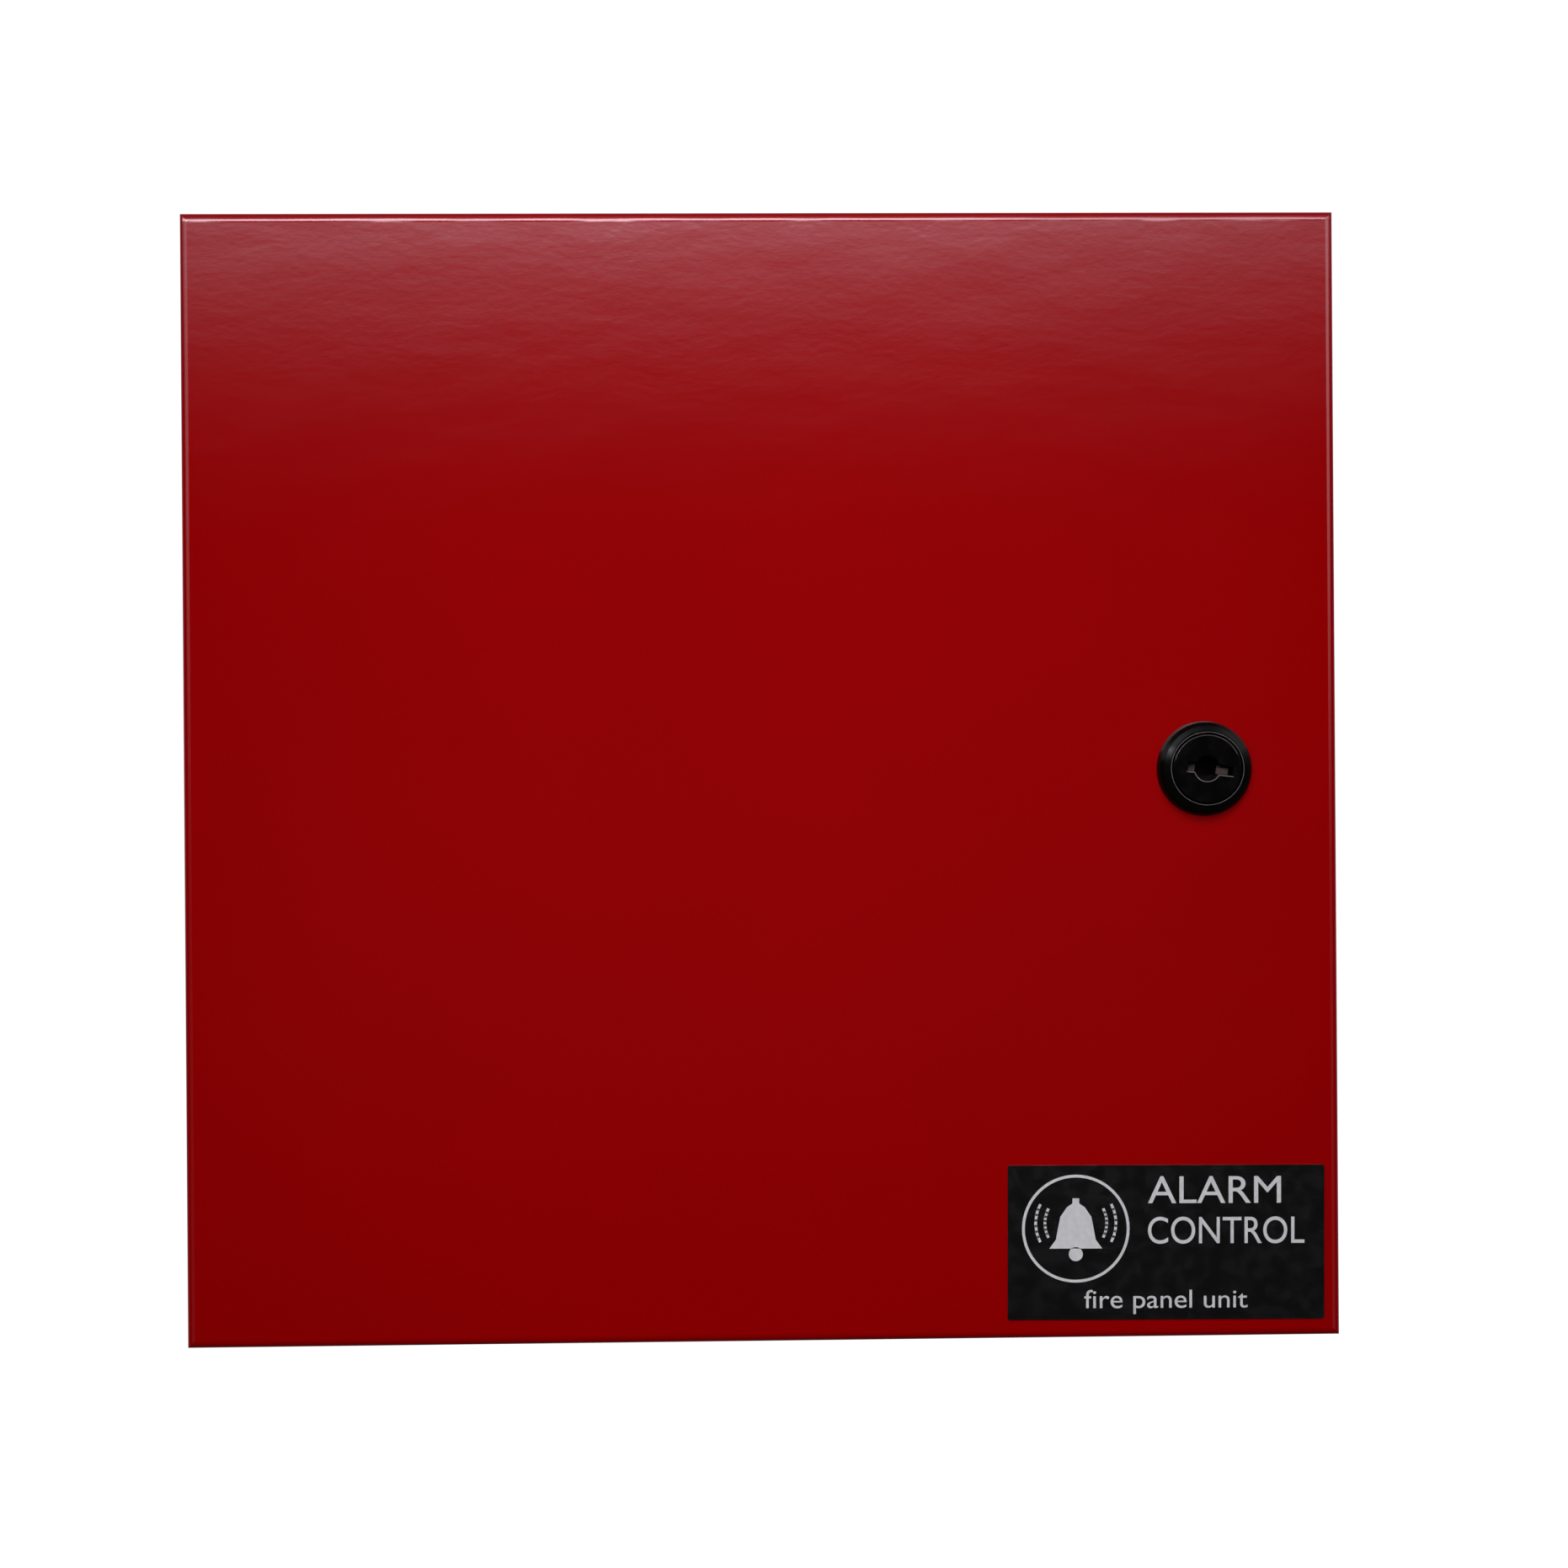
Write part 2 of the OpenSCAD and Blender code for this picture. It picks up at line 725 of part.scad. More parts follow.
// A row of screw terminals; the wires enter from below, or from above when it is flipped
module terminal_block(poles, pitch, flipped) {
    w = poles * pitch + 1;
    well_r = pitch * 0.34;
    mirror([0, flipped ? 1 : 0, 0]) translate([0, flipped ? -block_d : 0, 0]) difference() {
        translate([0, 0, 0]) rotate([90, 0, 90]) linear_extrude(height = w)
            polygon([
                [0, 0], [block_d, 0], [block_d, block_h - 3], [block_d - 2, block_h], [3, block_h], [0, 9]
            ]);
        for (i = [0:poles - 1]) translate([0.5 + (i + 0.5) * pitch, 0, 0]) {
            translate([0, 8.2, block_h - 3.2]) cylinder(h = 4, r = well_r);
            translate([-pitch * 0.32, -1, 2.6]) cube([pitch * 0.64, 7, 3.6]);
        }
    }
}

module terminal_blocks() {
    color("#20242a") {
        for (x = low_blocks) at(x, low_row_z, board_front) terminal_block(low_poles, pole, false);
        for (x = high_blocks) at(x, high_row_z, board_front) terminal_block(high_poles, pole, true);
    }
}

module terminal_screw_row(x, up, poles, pitch) {
    for (i = [0:poles - 1]) at(x + 0.5 + (i + 0.5) * pitch, up, board_front + block_h - 3.2) difference() {
        cylinder(h = 1.9, r = pitch * 0.3);
        rotate(25 * (i % 5)) translate([-pitch * 0.3, -0.35, 1]) cube([pitch * 0.6, 0.7, 2]);
    }
}

module terminal_screws() {
    color("#c4c7ca") {
        for (x = low_blocks) terminal_screw_row(x, low_row_z + 8.2, low_poles, pole);
        for (x = high_blocks) terminal_screw_row(x, high_row_z + block_d - 8.2, high_poles, pole);
        terminal_screw_row(mains_x, low_row_z + 8.2, mains_poles, mains_pole);
    }
}

module mains_block() {
    color("#101113") at(mains_x, low_row_z, board_front) terminal_block(mains_poles, mains_pole, false);
}

module relays() {
    color("#e8e6df") for (p = relay_at)
        at(p[0] + relay_size[0] / 2, p[1] + relay_size[1] / 2, board_front + 0.4)
            slab(relay_size[0], relay_size[1], relay_size[2], 1);
}

module capacitors() {
    groove = 0.5;
    outline = [
        [0, 0], [capacitor_r, 0], [capacitor_r, 3], [capacitor_r - groove, 3.6], [capacitor_r, 4.2],
        [capacitor_r, capacitor_h - 0.8], [capacitor_r - 0.8, capacitor_h],
        [capacitor_r - 2.2, capacitor_h], [capacitor_r - 2.6, capacitor_h - 0.4], [0, capacitor_h - 0.4]
    ];
    color("#1b2a4a") for (p = capacitor_at) at(p[0], p[1], board_front) rotate_extrude() polygon(outline);
}

module heat_sink() {
    base = 3;
    fin = 1.6;
    color("#2b2d30") at(sink_at[0], sink_at[1], board_front) linear_extrude(height = sink_h) {
        translate([0, sink_d - base]) square([sink_w, base]);
        for (i = [0:sink_fins - 1])
            translate([i * (sink_w - fin) / (sink_fins - 1), 0]) square([fin, sink_d]);
    }
}

module power_transistors() {
    tab_z = sink_at[1] + sink_d;
    color("#18191b") for (x = transistor_x) {
        box_from_corner(x - 5, tab_z, board_front + 7, 10, 4.5, 9);
        box_from_corner(x - 5, tab_z, board_front + 16, 10, 1.3, 6.5);
        for (leg = [-1, 0, 1]) box_from_corner(x + 2.54 * leg - 0.4, tab_z + 2, board_front, 0.8, 0.5, 7);
    }
}

module fuse_clips() {
    color(zinc) for (p = fuse_at, end = [0, 1])
        at(p[0] + end * (fuse_l - 6), p[1] - 4, board_front) difference() {
            cube([6, 8, 9]);
            translate([-1, 1, 1]) cube([8, 6, 9]);
        }
}

module fuse_tubes() {
    color("#d9e6e8") for (p = fuse_at)
        at(p[0], p[1], board_front + 1.1 + fuse_r) rotate([0, 90, 0]) cylinder(h = fuse_l, r = fuse_r);
}

module buzzer() {
    color("#0c0d0e") at(buzzer_at[0], buzzer_at[1], board_front) difference() {
        rotate_extrude() polygon([[0, 0], [9, 0], [9, 8.6], [8.6, 9], [3, 9], [2.4, 8.4], [0, 8.4]]);
        translate([0, 0, 5]) cylinder(h = 5, r = 1.2);
    }
}

module chips() {
    color("#141517") for (c = chip_at) box_from_corner(c[0], c[1], board_front, c[2], c[3], 2.4);
}

// Shrouded wire connectors along the edges of the board
module wire_connectors() {
    color("#efeee8") for (c = connector_at)
        at(c[0], c[1], board_front) difference() {
            cube([c[2], c[3], 9]);
            translate([1.2, 1.2, 5.5]) cube([c[2] - 2.4, c[3] - 2.4, 6]);
        }
}

// ---------- display module ----------

// Flat cable between the two boards, folded once behind the display
module ribbon_cable() {
    run = display_lift;
    bow = 6;
    color("#9aa0a6") at(30, 44, board_front) rotate([-90, 0, 0]) translate([0, -run, -ribbon_w / 2])
        linear_extrude(height = ribbon_w) difference() {
            union() {
                translate([0, 0]) square([bow, run]);
                translate([bow, run / 2]) intersection() {
                    circle(run / 2);
                    translate([0, -run / 2]) square([run / 2, run]);
                }
            }
            translate([-1, ribbon_t]) square([bow + 1, run - 2 * ribbon_t]);
            translate([bow, run / 2]) circle(run / 2 - ribbon_t);
        }
}

module display_posts() {
    color("#c9a44c") for (x = post_x, z = post_z)
        at(x, z, board_front) linear_extrude(height = display_lift) difference() {
            hexagon(5.5);
            circle(screw_r + 0.1);
        }
}

module display_board() {
    color(board_green) difference() {
        at(display_x + display_w / 2, display_z + display_h / 2, display_back)
            slab(display_w, display_h, board_t, 2);
        for (x = post_x, z = post_z) at(x, z, display_back - 1) cylinder(h = board_t + 2, r = screw_hole_r);
    }
}

// The bezel's skirt stands round the display board, and its bosses stand on it
module display_bezel() {
    w = display_w + 2 * bezel_wall + 1;
    h = display_h + 2 * bezel_wall + 1;
    cx = display_x + display_w / 2;
    cz = display_z + display_h / 2;
    color("#3a3d42") difference() {
        union() {
            difference() {
                at(cx, cz, display_back) slab(w, h, bezel_face - display_back, 4);
                at(cx, cz, display_back - 1)
                    slab(w - 2 * bezel_wall, h - 2 * bezel_wall, bezel_back - display_back + 1, 2.5);
            }
            for (x = post_x, z = post_z)
                at(x, z, display_front) cylinder(h = bezel_back - display_front + eps, r = boss_r);
        }
        for (x = post_x, z = post_z) at(x, z, display_front - 1) cylinder(h = 20, r = screw_hole_r);
        at(lcd_at[0], lcd_at[1], bezel_back - 1) slab(lcd_view_w + 4, lcd_view_h + 4, 6, 1.5);
        for (x = button_x) at(x, button_z, bezel_back - 1)
            slab(button_w + 2 * button_fit, button_h + 2 * button_fit, 6, button_r + button_fit);
        for (x = button_x) at(x, status_z, bezel_back - 1) cylinder(h = 6, r = led_hole_r);
        for (x = [zone_alarm_x, zone_trouble_x], z = zone_z)
            at(x, z, bezel_back - 1) cylinder(h = 6, r = led_hole_r);
    }
}

module lcd_frame() {
    color("#1a1b1d") at(lcd_at[0], lcd_at[1], display_front) difference() {
        slab(lcd_w, lcd_h, 8.8, 1);
        translate([0, 0, 2]) slab(lcd_view_w, lcd_view_h, 8, 0.6);
    }
}

module lcd_glass() {
    color("#8aa33b") at(lcd_at[0], lcd_at[1], display_front + 2)
        slab(lcd_view_w - 0.2, lcd_view_h - 0.2, 5.6, 0.5);
}

module led(x, up) {
    top = bezel_face - led_r + 1;
    at(x, up, display_front) {
        cylinder(h = 1, r = led_r + 0.4);
        cylinder(h = top - display_front, r = led_r);
    }
    at(x, up, top) intersection() {
        sphere(led_r, $fn = 48);
        translate([-2, -2, 0]) cube(4);
    }
}

module leds_green() {
    color("#2fae4a") led(button_x[0], status_z);
}

module leds_red() {
    color("#c2201b") {
        led(button_x[1], status_z);
        for (z = zone_z) led(zone_alarm_x, z);
    }
}

module leds_yellow() {
    color("#d9a81c") {
        for (i = [2:4]) led(button_x[i], status_z);
        for (z = zone_z) led(zone_trouble_x, z);
    }
}

module key_switches() {
    color("#24262a") for (x = button_x) {
        at(x, button_z, display_front) slab(6, 6, switch_h - 0.9, 0.4);
        at(x, button_z, display_front) cylinder(h = switch_h, r = 1.7);
    }
}

// A push button: cap, the flange that keeps it behind the bezel, and the stem over its switch
module button(n, tint) {
    flange = bezel_back - 1.6;
    stem_end = display_front + switch_h + button_travel + 0.1;
    face = bezel_face + button_proud;
    color(tint) at(button_x[n - 1], button_z, 0) {
        translate([0, 0, flange]) slab(button_w + 3, button_h + 3, 1.4, button_r);
        translate([0, 0, flange + 0.5]) slab(button_w, button_h, face - flange - 1.1, button_r);
        translate([0, 0, face - 0.8]) slab(button_w - 1.2, button_h - 1.2, 0.8, button_r - 0.6);
        translate([0, 0, stem_end]) cylinder(h = flange - stem_end + 0.5, r = 2);
    }
}

// ---------- transformer ----------

module core_outline() {
    window_h = core_h - 2 * core_leg;
    difference() {
        translate([-core_w / 2, 0]) square([core_w, core_h]);
        for (side = [-1, 1])
            translate([side * 1.5 * core_leg - core_leg / 2, core_leg]) square([core_leg, window_h]);
    }
}

module at_core() {
    at(core_x, core_z, wall_in) children();
}

module transformer_core() {
    color("#4b4f55") at_core() rotate([90, 0, 0])
        linear_extrude(height = core_d, center = true) core_outline();
}

// Height and width of the space that the bobbin fills in the core's windows
module coil_block(w, d, h) {
    translate([-w / 2, -d / 2, core_h / 2 - h / 2]) cube([w, d, h]);
}

module transformer_bobbin() {
    h = core_h - 2 * core_leg - 0.4;
    leg = 2 * core_leg;
    flange_t = 1.4;
    color("#e9e4d4") at_core() difference() {
        union() {
            for (end = [-1, 1]) translate([0, 0, end * (h - flange_t) / 2])
                coil_block(4 * core_leg - 0.4, winding_d + 2, flange_t);
            coil_block(leg + 2.4, core_d + 2.4, h);
        }
        coil_block(leg + 0.2, core_d + 0.2, core_h);
    }
}

module transformer_winding() {
    h = core_h - 2 * core_leg - 0.4 - 2 * 1.4 - 0.2;
    leg = 2 * core_leg;
    color("#d9b63a") at_core() difference() {
        translate([0, 0, core_h / 2 - h / 2]) slab(4 * core_leg - 1, winding_d, h, 5);
        coil_block(leg + 2.6, core_d + 2.6, core_h);
    }
}

module transformer_strap() {
    out = core_w / 2 + strap_t;
    color(zinc) at_core() difference() {
        rotate([90, 0, 0]) linear_extrude(height = core_d - 1, center = true) difference() {
            union() {
                translate([-out, 0]) square([2 * out, core_h + strap_t]);
                translate([-out - ear_w, 0]) square([2 * (out + ear_w), strap_t]);
            }
            translate([-core_w / 2, -1]) square([core_w, core_h + 1]);
        }
        for (side = [-1, 1]) translate([side * transformer_screw_x, 0, -1]) cylinder(h = 4, r = 1.8);
    }
}

// ---------- batteries ----------

module at_battery(x, up) {
    from_wall() translate([x + battery_w / 2, up, battery_back + battery_d / 2])
        rotate([-90, 0, 0]) children();
}

module battery_cases() {
    case_h = battery_h - battery_lid_h;
    color("#2c2f34") for (x = battery_x) at_battery(x, battery_floor) difference() {
        slab(battery_w, battery_d, case_h, battery_r);
        for (side = [-1, 1]) translate([-battery_w / 2 + 8, side * (battery_d / 2 + 0.4) - 1, 10])
            cube([battery_w - 16, 2, case_h - 24]);
    }
}

module battery_lids() {
    foot = battery_floor + battery_h - battery_lid_h;
    tab_y = battery_back + battery_d / 2 - tab_out;
    color("#383c42") for (x = battery_x) at_battery(x, foot) difference() {
        slab(battery_w, battery_d, battery_lid_h, battery_r);
        translate([0, 0, battery_lid_h - 1]) slab(battery_w - 26, 20, 2, 2);
        for (side = [-1, 1])
            translate([side * (battery_w / 2 - tab_inset) - 6, tab_y - 8, battery_lid_h - tab_sunk])
                cube([12, 16, tab_sunk + 1]);
    }
}

module battery_tabs() {
    tab_base = tab_foot - tab_sunk;
    color("#c8ccd0") for (x = battery_x, inset = [tab_inset, battery_w - tab_inset])
        box_from_corner(
            x + inset - tab_w / 2, tab_base, tab_out - tab_t / 2,
            tab_w, tab_h + tab_sunk, tab_t
        );
}

// ---------- wires ----------

// A push-on connector in an insulating sleeve, over a battery tab
module tab_sleeve(x) {
    at(x, tab_foot + 1, tab_out) rotate([-90, 0, 0]) difference() {
        slab(8, 4.2, 7.2, 1.2);
        translate([-tab_w / 2 - 0.1, -tab_t / 2 - 0.1, -1]) cube([tab_w + 0.2, tab_t + 0.2, tab_h + 0.2]);
    }
}

module battery_lead_positive() {
    color("#b3161b") {
        tab_sleeve(battery_x[1] + battery_w - tab_inset);
        from_wall() tube(battery_positive_route, wire_r);
    }
}

module battery_lead_negative() {
    color("#16171a") {
        tab_sleeve(battery_x[0] + tab_inset);
        from_wall() tube(battery_negative_route, wire_r);
    }
}

module battery_jumper() {
    color("#2750a0") {
        for (x = [battery_x[0] + battery_w - tab_inset, battery_x[1] + tab_inset]) tab_sleeve(x);
        from_wall() tube(battery_jumper_route, wire_r);
    }
}

module transformer_leads() {
    color("#d8c23a") for (route = concat(secondary_routes, primary_routes)) from_wall() tube(route, wire_r);
}

// Stud welded to the back of the box, with the two nuts that clamp the ring lug
module earth_stud() {
    color("#c9a44c") at(stud_at[0], stud_at[1], wall_in) {
        cylinder(h = stud_l, r = stud_r);
        linear_extrude(height = lug_out - wall_in) hexagon(8);
        translate([0, 0, lug_out + lug_t - wall_in]) linear_extrude(height = 3.2) hexagon(8);
    }
}

// The mains earth wire, with the ring lug that the stud's nut clamps
module earth_wire() {
    color("#2f8a3d") {
        at(stud_at[0], stud_at[1], lug_out) linear_extrude(height = lug_t) difference() {
            circle(5.4);
            circle(stud_r + 0.1);
        }
        from_wall() tube(earth_route, wire_r);
    }
}

// ---------- drawing ----------

box_wrapper();
box_top();
box_bottom();
door();
hinge_box_leaves();
hinge_door_leaves();
hinge_pins();
hinge_rivets();
door_bumpers();
nameplate();
door_label();
lock_body();
lock_nut();
lock_plug();
lock_wafers();
lock_cam();
cam_screw();
main_board();
board_spacers();
panel_screws();
terminal_blocks();
terminal_screws();
mains_block();
relays();
capacitors();
heat_sink();
power_transistors();
fuse_clips();
fuse_tubes();
buzzer();
chips();
wire_connectors();
ribbon_cable();
display_posts();
display_board();
display_bezel();
lcd_frame();
lcd_glass();
leds_green();
leds_red();
leds_yellow();
key_switches();
button(1, "#c8a21a");  // button_1
button(2, "#8b9096");  // button_2
button(3, "#8b9096");  // button_3
button(4, "#a81c1c");  // button_4
button(5, "#8b9096");  // button_5
transformer_core();
transformer_bobbin();
transformer_winding();
transformer_strap();
battery_cases();
battery_lids();
battery_tabs();
battery_lead_positive();
battery_lead_negative();
battery_jumper();
transformer_leads();
earth_stud();
earth_wire();
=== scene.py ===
import json
import math
import random

import bmesh
import bpy
from mathutils import Matrix, Vector


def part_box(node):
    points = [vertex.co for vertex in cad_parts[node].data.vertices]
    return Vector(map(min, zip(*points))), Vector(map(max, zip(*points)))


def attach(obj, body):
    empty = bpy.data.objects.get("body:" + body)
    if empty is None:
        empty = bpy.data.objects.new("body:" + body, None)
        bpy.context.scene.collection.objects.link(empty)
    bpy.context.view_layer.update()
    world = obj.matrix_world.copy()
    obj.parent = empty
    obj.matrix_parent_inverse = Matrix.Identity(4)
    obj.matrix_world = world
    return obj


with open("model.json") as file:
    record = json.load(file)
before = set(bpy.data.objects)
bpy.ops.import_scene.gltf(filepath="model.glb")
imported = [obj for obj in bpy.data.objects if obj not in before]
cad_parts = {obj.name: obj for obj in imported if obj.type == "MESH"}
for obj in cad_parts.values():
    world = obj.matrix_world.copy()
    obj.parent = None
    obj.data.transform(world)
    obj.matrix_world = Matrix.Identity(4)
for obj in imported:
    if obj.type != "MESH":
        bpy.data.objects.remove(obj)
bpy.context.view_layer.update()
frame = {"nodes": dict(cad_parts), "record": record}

MM = 0.001
NODES = frame["nodes"]
scene = bpy.context.scene


# ---------- places ----------

WELD_STEPS = 1e5  # steps to a metre; vertices on the same step are one


def box(node):
    """Lowest and highest corner of a CAD node."""
    return tuple(Vector(corner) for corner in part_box(node))


def middle_of(node):
    low, high = box(node)
    return (low + high) / 2


def span(points):
    """Lowest and highest corner of a box round points."""
    return tuple(Vector([pick(point[i] for point in points) for i in range(3)]) for pick in (min, max))


def solids(node):
    """Lowest and highest corners of a node's separate solids, from left to right and then upwards."""
    mesh = NODES[node].data
    keys = [tuple(round(c * WELD_STEPS) for c in v.co) for v in mesh.vertices]
    leader = {key: key for key in keys}

    def find(key):
        while leader[key] != key:
            leader[key] = leader[leader[key]]
            key = leader[key]
        return key

    for face in mesh.polygons:
        first = find(keys[face.vertices[0]])
        for index in face.vertices[1:]:
            leader[find(keys[index])] = first
    parts = {}
    for key in leader:
        parts.setdefault(find(key), []).append(key)
    boxes = [tuple(corner / WELD_STEPS for corner in span(part)) for part in parts.values()]
    return sorted(boxes, key=lambda corners: (corners[0].x, corners[0].z))


def front_of(corners):
    """The middle of the face that looks towards -Y."""
    low, high = corners
    return Vector(((low.x + high.x) / 2, low.y, (low.z + high.z) / 2))


def size_mm(corners):
    """Width and height in millimetres."""
    low, high = corners
    return (high.x - low.x) / MM, (high.z - low.z) / MM


def add_object(name, data):
    made = bpy.data.objects.new(name, data)
    scene.collection.objects.link(made)
    return made


# ---------- camera ----------

EYE_DISTANCE = 0.600
EYE_SIDE = -0.0072
EYE_LIFT = -0.00105
TURN = math.radians(1.23)
TILT = math.radians(-0.08)
ROLL = math.radians(-0.40)
LENS_MM = 51.03
SENSOR_MM = 36.0


def make_camera():
    data = bpy.data.cameras.new("camera")
    data.sensor_width = SENSOR_MM
    data.lens = LENS_MM
    camera = add_object("camera", data)
    forward = Vector((math.sin(TURN) * math.cos(TILT), math.cos(TURN) * math.cos(TILT), math.sin(TILT)))
    right = Vector((math.cos(TURN), -math.sin(TURN), 0))
    up = right.cross(forward)
    rolled_right = right * math.cos(ROLL) + up * math.sin(ROLL)
    rolled_up = up * math.cos(ROLL) - right * math.sin(ROLL)
    turn = Matrix((rolled_right, rolled_up, -forward)).transposed()
    face = front_of(box("door"))
    eye = Vector((face.x + EYE_SIDE, face.y - EYE_DISTANCE, face.z + EYE_LIFT))
    camera.matrix_world = Matrix.Translation(eye) @ turn.to_4x4()
    scene.camera = camera


# ---------- shader building ----------

class Shader:
    """A node tree under construction, with short ways to add what the materials share."""

    def __init__(self, tree):
        self.tree = tree
        self.tree.nodes.clear()

    def node(self, kind, **settings):
        made = self.tree.nodes.new(kind)
        for name, value in settings.items():
            setattr(made, name, value)
        return made

    def link(self, source, target):
        self.tree.links.new(source, target)

    def put(self, value, target):
        """Links a socket to the target, or sets the target to a plain value."""
        if isinstance(value, bpy.types.NodeSocket):
            self.link(value, target)
        else:
            target.default_value = value

    def math(self, operation, a, b=0.0):
        made = self.node("ShaderNodeMath", operation=operation)
        self.put(a, made.inputs[0])
        self.put(b, made.inputs[1])
        return made.outputs[0]

    def product(self, first, *others):
        for other in others:
            first = self.math("MULTIPLY", first, other)
        return first

    def total(self, first, *others):
        for other in others:
            first = self.math("ADD", first, other)
        return first

    def step(self, value, low, high, to_low=0.0, to_high=1.0):
        """Goes smoothly from to_low to to_high while value goes from low to high."""
        made = self.node("ShaderNodeMapRange", interpolation_type="SMOOTHSTEP")
        for number, target in zip((value, low, high, to_low, to_high), made.inputs):
            self.put(number, target)
        return made.outputs[0]

    def mix(self, factor, a, b):
        made = self.node("ShaderNodeMix", data_type="RGBA")
        for value, index in ((factor, 0), (a, 6), (b, 7)):
            self.put(value, made.inputs[index])
        return made.outputs[2]

    def place(self, stretch=(1, 1, 1)):
        """The object's own coordinates in metres, stretched."""
        coordinates = self.node("ShaderNodeTexCoord")
        mapping = self.node("ShaderNodeMapping")
        self.link(coordinates.outputs["Object"], mapping.inputs["Vector"])
        mapping.inputs["Scale"].default_value = stretch
        return mapping.outputs[0]

    def axis(self, name):
        split = self.node("ShaderNodeSeparateXYZ")
        self.link(self.place(), split.inputs[0])
        return split.outputs["XYZ".index(name)]

    def noise(self, size, detail=3.0, stretch=(1, 1, 1)):
        """Noise whose lumps are about size metres across."""
        made = self.node("ShaderNodeTexNoise")
        self.link(self.place(stretch), made.inputs["Vector"])
        made.inputs["Scale"].default_value = 1 / size
        made.inputs["Detail"].default_value = detail
        return made.outputs["Fac"]

    def cells(self, size, feature="F1"):
        """Distances in a pattern of cells that are about size metres across."""
        made = self.node("ShaderNodeTexVoronoi", feature=feature)
        self.link(self.place(), made.inputs["Vector"])
        made.inputs["Scale"].default_value = 1 / size
        return made.outputs["Distance"]

    def lines(self, coordinate, pitch, width):
        """1 on lines of a width that repeat at a pitch along a coordinate, else 0."""
        return self.step(self.math("PINGPONG", coordinate, pitch / 2), width * 0.35, width * 0.65, 1.0, 0.0)

    def rounded(self, radius):
        """Normals that round off the edges by a radius."""
        made = self.node("ShaderNodeBevel", samples=4)
        made.inputs["Radius"].default_value = radius
        return made.outputs[0]

    def bump(self, height, strength, depth, under=None):
        made = self.node("ShaderNodeBump")
        made.inputs["Strength"].default_value = strength
        made.inputs["Distance"].default_value = depth
        self.link(height, made.inputs["Height"])
        if under is not None:
            self.link(under, made.inputs["Normal"])
        return made.outputs[0]

    def background(self, strength, colour):
        made = self.node("ShaderNodeBackground")
        self.put(strength, made.inputs["Strength"])
        made.inputs["Color"].default_value = (*colour, 1)
        return made.outputs[0]


class Finish:
    """One Principled material, built up from features."""

    def __init__(self, name, colour, roughness, **sockets):
        self.name = name
        self.made = bpy.data.materials.new(name)
        self.made.use_nodes = True
        self.colour = colour
        self.roughness = roughness
        self.shader = Shader(self.made.node_tree)
        out = self.shader.node("ShaderNodeOutputMaterial")
        self.surface = self.shader.node("ShaderNodeBsdfPrincipled")
        self.shader.link(self.surface.outputs[0], out.inputs["Surface"])
        self.sockets(Base_Color=(*colour, 1), Roughness=roughness, **sockets)

    def sockets(self, **values):
        for name, value in values.items():
            self.shader.put(value, self.surface.inputs[name.replace("_", " ")])
        return self

    def tone(self, factor):
        return (*[min(1.0, c * factor) for c in self.colour], 1)

    def mottle(self, size, spread, stretch=(1, 1, 1)):
        """Lets the colour wander between darker and lighter."""
        amount = self.shader.step(self.shader.noise(size, 4.0, stretch), 0.3, 0.7)
        return self.sockets(Base_Color=self.shader.mix(amount, self.tone(1 - spread), self.tone(1 + spread)))

    def over(self, factor, colour):
        """Lays another colour over the present one where factor is 1."""
        under = self.surface.inputs["Base Color"]
        source = under.links[0].from_socket if under.links else under.default_value[:]
        return self.sockets(Base_Color=self.shader.mix(factor, source, (*colour, 1)))

    def wander(self, size, spread, stretch=(1, 1, 1)):
        """Lets the roughness wander."""
        low, high = max(0.02, self.roughness - spread), min(1.0, self.roughness + spread)
        return self.sockets(
            Roughness=self.shader.step(self.shader.noise(size, 3.0, stretch), 0.35, 0.65, low, high)
        )

    def relief(self, height, strength, depth, edge=None, target="Normal"):
        """Adds a bump, over edges rounded by a radius or over the bump that is already there."""
        socket = self.surface.inputs[target]
        under = socket.links[0].from_socket if socket.links else None
        if edge:
            under = self.shader.rounded(edge)
        return self.sockets(**{target.replace(" ", "_"): self.shader.bump(height, strength, depth, under)})


# ---------- finishes ----------

def enamel(name, colour):
    """Gloss paint: a clear, hard reflection with orange peel, specks of dust and small dents along the
    door's top fold."""
    made = Finish(name, colour, 0.5, Specular_IOR_Level=0.0, Coat_Weight=1.0, Coat_Roughness=0.06,
                  Coat_IOR=1.5)
    shader = made.shader
    made.mottle(0.09, 0.02)
    dust = shader.step(shader.cells(0.012), 0.0, 0.012, 1.0, 0.0)
    picked = shader.step(shader.noise(0.02, 1.0), 0.60, 0.64)
    made.over(shader.product(dust, picked, 0.35), (0.5, 0.35, 0.33))
    made.relief(shader.noise(0.030, 1.0, (1, 1, 2.0)), 0.25, 0.00020, target="Coat Normal")
    made.relief(shader.noise(0.007, 3.0, (0.55, 1, 1.5)), 0.16, 0.00010, target="Coat Normal")
    top = box("door")[1].z
    fold = shader.step(shader.axis("Z"), top - 0.0029, top - 0.0018)
    dents = shader.math("SUBTRACT", shader.noise(0.0045, 1.0, (0.3, 1, 1)), 0.5)
    made.relief(shader.product(dents, fold), 1.0, 0.00016, target="Coat Normal")
    return made.relief(shader.noise(0.0024, 2.0, (1, 1, 1.7)), 0.08, 0.00010, target="Coat Normal")


def grained(name, colour, roughness, tone, gloss, grain, strength, depth, edge=None, **sockets):
    """A surface whose colour, gloss and relief wander, by the settings of mottle, wander and noise."""
    made = Finish(name, colour, roughness, **sockets)
    made.mottle(*tone).wander(*gloss)
    return made.relief(made.shader.noise(*grain), strength, depth, edge)


